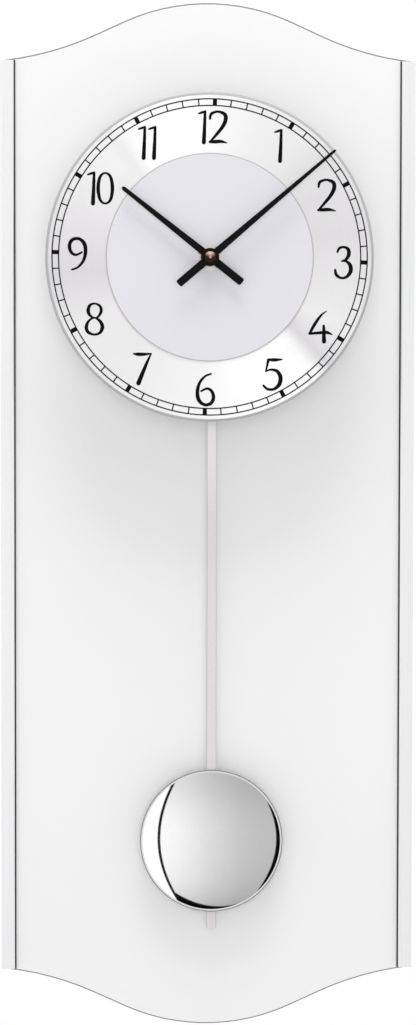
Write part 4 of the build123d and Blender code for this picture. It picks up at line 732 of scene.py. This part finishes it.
def numeral(hour):
    """Build function for an upright numeral on the dial."""
    def build(mesh):
        middle = clock_point(math.radians(30 * hour) + DIAL_TURN, NUMERAL_CIRCLE)
        middle += Vector(NUMERAL_SHIFT.get(hour, (0, 0))) * MM
        for digit, offset in zip(str(hour), DIGIT_PLACES.get(hour, [0])):
            centre = middle + Vector((offset * MM, 0))
            figure = FIGURES[digit]
            for kind, closed in (("lines", False), ("loops", True)):
                for index, points in enumerate(figure.get(kind, [])):
                    add_stroke(mesh, points, centre, closed, index * LAYER_LIFT)
    return build


def print_dial(ink):
    """Minute track and the twelve numerals, each figure and tick a piece of its own."""
    add_ink_piece("track_outer", track_ring(TRACK_OUTER), ink)
    add_ink_piece("track_inner", track_ring(TRACK_INNER), ink)
    for minute in range(60):
        add_ink_piece(f"tick_{minute:02d}", track_tick(minute), ink)
    for hour in range(1, 13):
        add_ink_piece(f"numeral_{hour}", numeral(hour), ink)


# ---------------------------------------------------------------- studio
# Window panel's level from its left (-1) to its right (1), and the share of it from the foot to the top
WINDOW_ACROSS = (
    (0.0, grey(1.05)), (0.14, grey(1.02)), (0.24, grey(0.97)), (0.33, grey(0.90)), (0.41, grey(0.83)),
    (0.47, grey(0.77)), (0.53, grey(0.72)), (0.61, grey(0.67)), (0.71, grey(0.60)), (0.82, grey(0.56)),
    (1.0, grey(0.53)),
)
WINDOW_UP = (
    (0.0, grey(0.58)), (0.06, grey(0.72)), (0.13, grey(0.82)), (0.21, grey(0.90)), (0.30, grey(0.95)),
    (0.42, grey(0.99)), (0.60, grey(1.0)), (0.74, grey(0.94)), (0.86, grey(0.84)), (1.0, grey(0.76)),
)
# The panel's sides on the bob's face: where each one's bow is centred, how much it bows, and its place
PANEL_LEFT = (0.05, 0.345, -0.757)
PANEL_RIGHT = (0.03, -0.47, 0.932)
PANEL_FOOT = (0.12, 0.50, -0.945)
GAP_DARKNESS = 0.995             # share of the light that the frame line and the gaps take away
ROOM_LEVEL = 1.08                # beyond the panel
DIFFUSE_AMBIENT = 0.69           # share of the room's light that falls on matt surfaces

FLOOR_DROP = 0.43                # below the clock's foot
FLOOR_SIDE = 2.2                 # to each side
FLOOR_FRONT = -2.4
FLOOR_BACK = 1.2

# Softboxes: place from the clock's middle, width and height, and power in watts
SOFTBOXES = {
    "overhead": ((0.0, -0.52, 1.65), 0.9, 0.5, 16),
    "front": ((0.0, -2.5, 0.15), 1.3, 1.3, 14),
}

# Camera: left of the clock's middle line, level with the dial's lower edge, turned a little right and down
CAMERA_PLACE = Vector((-0.0617, -2.000, -0.159))
CAMERA_YAW = math.radians(1.792)
CAMERA_PITCH = math.radians(-2.974)
CAMERA_ROLL = math.radians(0.089)
CAMERA_LENS = 114.98


def build_world():
    """Soft white room with one great window panel, laid out by where it shows in the bob's dome.

    p and q are the direction's place on the bob's face, from -1 to 1 across it and up it. The panel is
    brightest at its left, and dark gaps lie to its right and below it; past a thin frame line, left of it,
    the room is plain white.
    """
    world = bpy.data.worlds.new("studio")
    bpy.context.scene.world = world
    world.use_nodes = True
    n = Nodes(world.node_tree)
    slope = BOB_RADIUS / DOME_SPHERE
    viewer = (CAMERA_PLACE - BOB_MIDDLE).normalized()
    direction = n.add("TexCoord").outputs["Generated"]
    towards = n.add("VectorMath", {0: direction, 1: viewer}, operation="ADD")
    half_way = n.add("VectorMath", {0: towards.outputs[0]}, operation="NORMALIZE")
    split = n.add("SeparateXYZ", {0: half_way.outputs[0]})
    p = n.math("DIVIDE", split.outputs["X"], slope)
    q = n.math("DIVIDE", split.outputs["Z"], slope)
    p_squared, q_squared = n.math("MULTIPLY", p, p), n.math("MULTIPLY", q, q)

    def bowed(value, middle, bow, offset):
        """A side's place, which bows by the square of the way along it."""
        along = n.math("SUBTRACT", value, middle)
        return n.math("ADD", n.math("MULTIPLY", n.math("MULTIPLY", along, along), bow), offset)

    left_side = n.math("SUBTRACT", p, bowed(q, *PANEL_LEFT))
    right_side = n.math("SUBTRACT", bowed(q, *PANEL_RIGHT), p)
    foot_side = n.math("SUBTRACT", q, bowed(p, *PANEL_FOOT))
    in_panel = n.between(left_side, -0.006, 0.006)
    frame_line = n.math("SUBTRACT", n.between(left_side, -0.026, -0.014), n.between(left_side, 0.014, 0.028))
    past_right = n.math("MULTIPLY", n.between(right_side, 0.008, -0.008), n.between(q, 0.62, 0.5))
    past_foot = n.between(foot_side, 0.008, -0.008)
    in_face = n.between(n.math("ADD", p_squared, q_squared), 1.3, 1.15)
    gap = n.math("MULTIPLY", n.math("MAXIMUM", past_right, past_foot), n.math("MULTIPLY", in_panel, in_face))

    across = n.ramp(n.between(p, -1.0, 1.0, smooth=False), WINDOW_ACROSS)
    up = n.ramp(n.between(q, -1.0, 1.0, smooth=False), WINDOW_UP)
    crossed = n.add("VectorMath", {0: across, 1: up}, operation="MULTIPLY")
    window = n.add("SeparateColor", {0: crossed.outputs[0]}).outputs[0]
    plain_room = n.math("SUBTRACT", 1.0, n.math("MULTIPLY", in_panel, in_face))
    window_share = n.math("MULTIPLY", window, n.math("SUBTRACT", 1.0, plain_room))
    level = n.math("ADD", window_share, n.math("MULTIPLY", plain_room, ROOM_LEVEL))
    dark = n.math("MAXIMUM", n.math("MULTIPLY", frame_line, in_face), gap)
    level = n.math("MULTIPLY", level, n.math("SUBTRACT", 1.0, n.math("MULTIPLY", dark, GAP_DARKNESS)))
    path = n.add("LightPath")
    strength = n.between(path.outputs["Is Diffuse Ray"], 0.0, 1.0, 1.0, DIFFUSE_AMBIENT, smooth=False)
    colour = n.add("CombineColor", {0: level, 1: level, 2: level})
    room = n.add("Background", {"Color": colour.outputs[0], "Strength": strength})
    backdrop = n.add("Background", {"Color": (1, 1, 1, 1), "Strength": 1.0})
    seen = path.outputs["Is Camera Ray"]
    mixed = n.add("MixShader", {0: seen, 1: room.outputs[0], 2: backdrop.outputs[0]})
    n.add("OutputWorld", {"Surface": mixed.outputs[0]})


def build_floor():
    """Pale floor under the clock, left out of the metal's reflections."""
    height = cad_box[0].z - FLOOR_DROP
    corners = [(-FLOOR_SIDE, FLOOR_FRONT), (FLOOR_SIDE, FLOOR_FRONT), (FLOOR_SIDE, FLOOR_BACK),
               (-FLOOR_SIDE, FLOOR_BACK)]
    data = bpy.data.meshes.new("floor")
    data.from_pydata([(x, y, height) for x, y in corners], [], [(0, 1, 2, 3)])
    floor = bpy.data.objects.new("floor", data)
    bpy.context.scene.collection.objects.link(floor)
    material, n, surface = new_material("pale_floor")
    mottle = n.noise(n.stretched(30, 30, 30), detail=4.0)
    shade(surface, n, Base_Color=n.mix(mottle, (0.80, 0.80, 0.80, 1), (0.85, 0.85, 0.85, 1)), Roughness=0.7)
    data.materials.append(material)
    floor.visible_glossy = False


def add_softbox(name, place, width, height, power):
    """Rectangular area light at place, counted from the clock's middle, and turned towards it."""
    data = bpy.data.lights.new(name, "AREA")
    data.shape = "RECTANGLE"
    data.size = width
    data.size_y = height
    data.energy = power
    lamp = bpy.data.objects.new(name, data)
    lamp.location = CLOCK_MIDDLE + Vector(place)
    lamp.rotation_mode = "QUATERNION"
    lamp.rotation_quaternion = (-Vector(place)).to_track_quat("-Z", "Y")
    lamp.visible_glossy = False
    bpy.context.scene.collection.objects.link(lamp)


def add_camera():
    data = bpy.data.cameras.new("camera")
    data.lens = CAMERA_LENS
    camera = bpy.data.objects.new("camera", data)
    level = math.cos(CAMERA_PITCH)
    forward = Vector((math.sin(CAMERA_YAW) * level, math.cos(CAMERA_YAW) * level, math.sin(CAMERA_PITCH)))
    camera.location = CAMERA_PLACE
    camera.rotation_mode = "QUATERNION"
    camera.rotation_quaternion = forward.to_track_quat("-Z", "Y") @ Quaternion((0, 0, 1), CAMERA_ROLL)
    bpy.context.scene.collection.objects.link(camera)
    bpy.context.scene.camera = camera


# ---------------------------------------------------------------- the scene
materials = make_materials()
dress_nodes(materials)
print_dial(materials["black_ink"])
build_world()
build_floor()
for box_name, (box_place, box_width, box_height, box_power) in SOFTBOXES.items():
    add_softbox(box_name, box_place, box_width, box_height, box_power)
add_camera()
bpy.context.scene.view_settings.view_transform = "Standard"
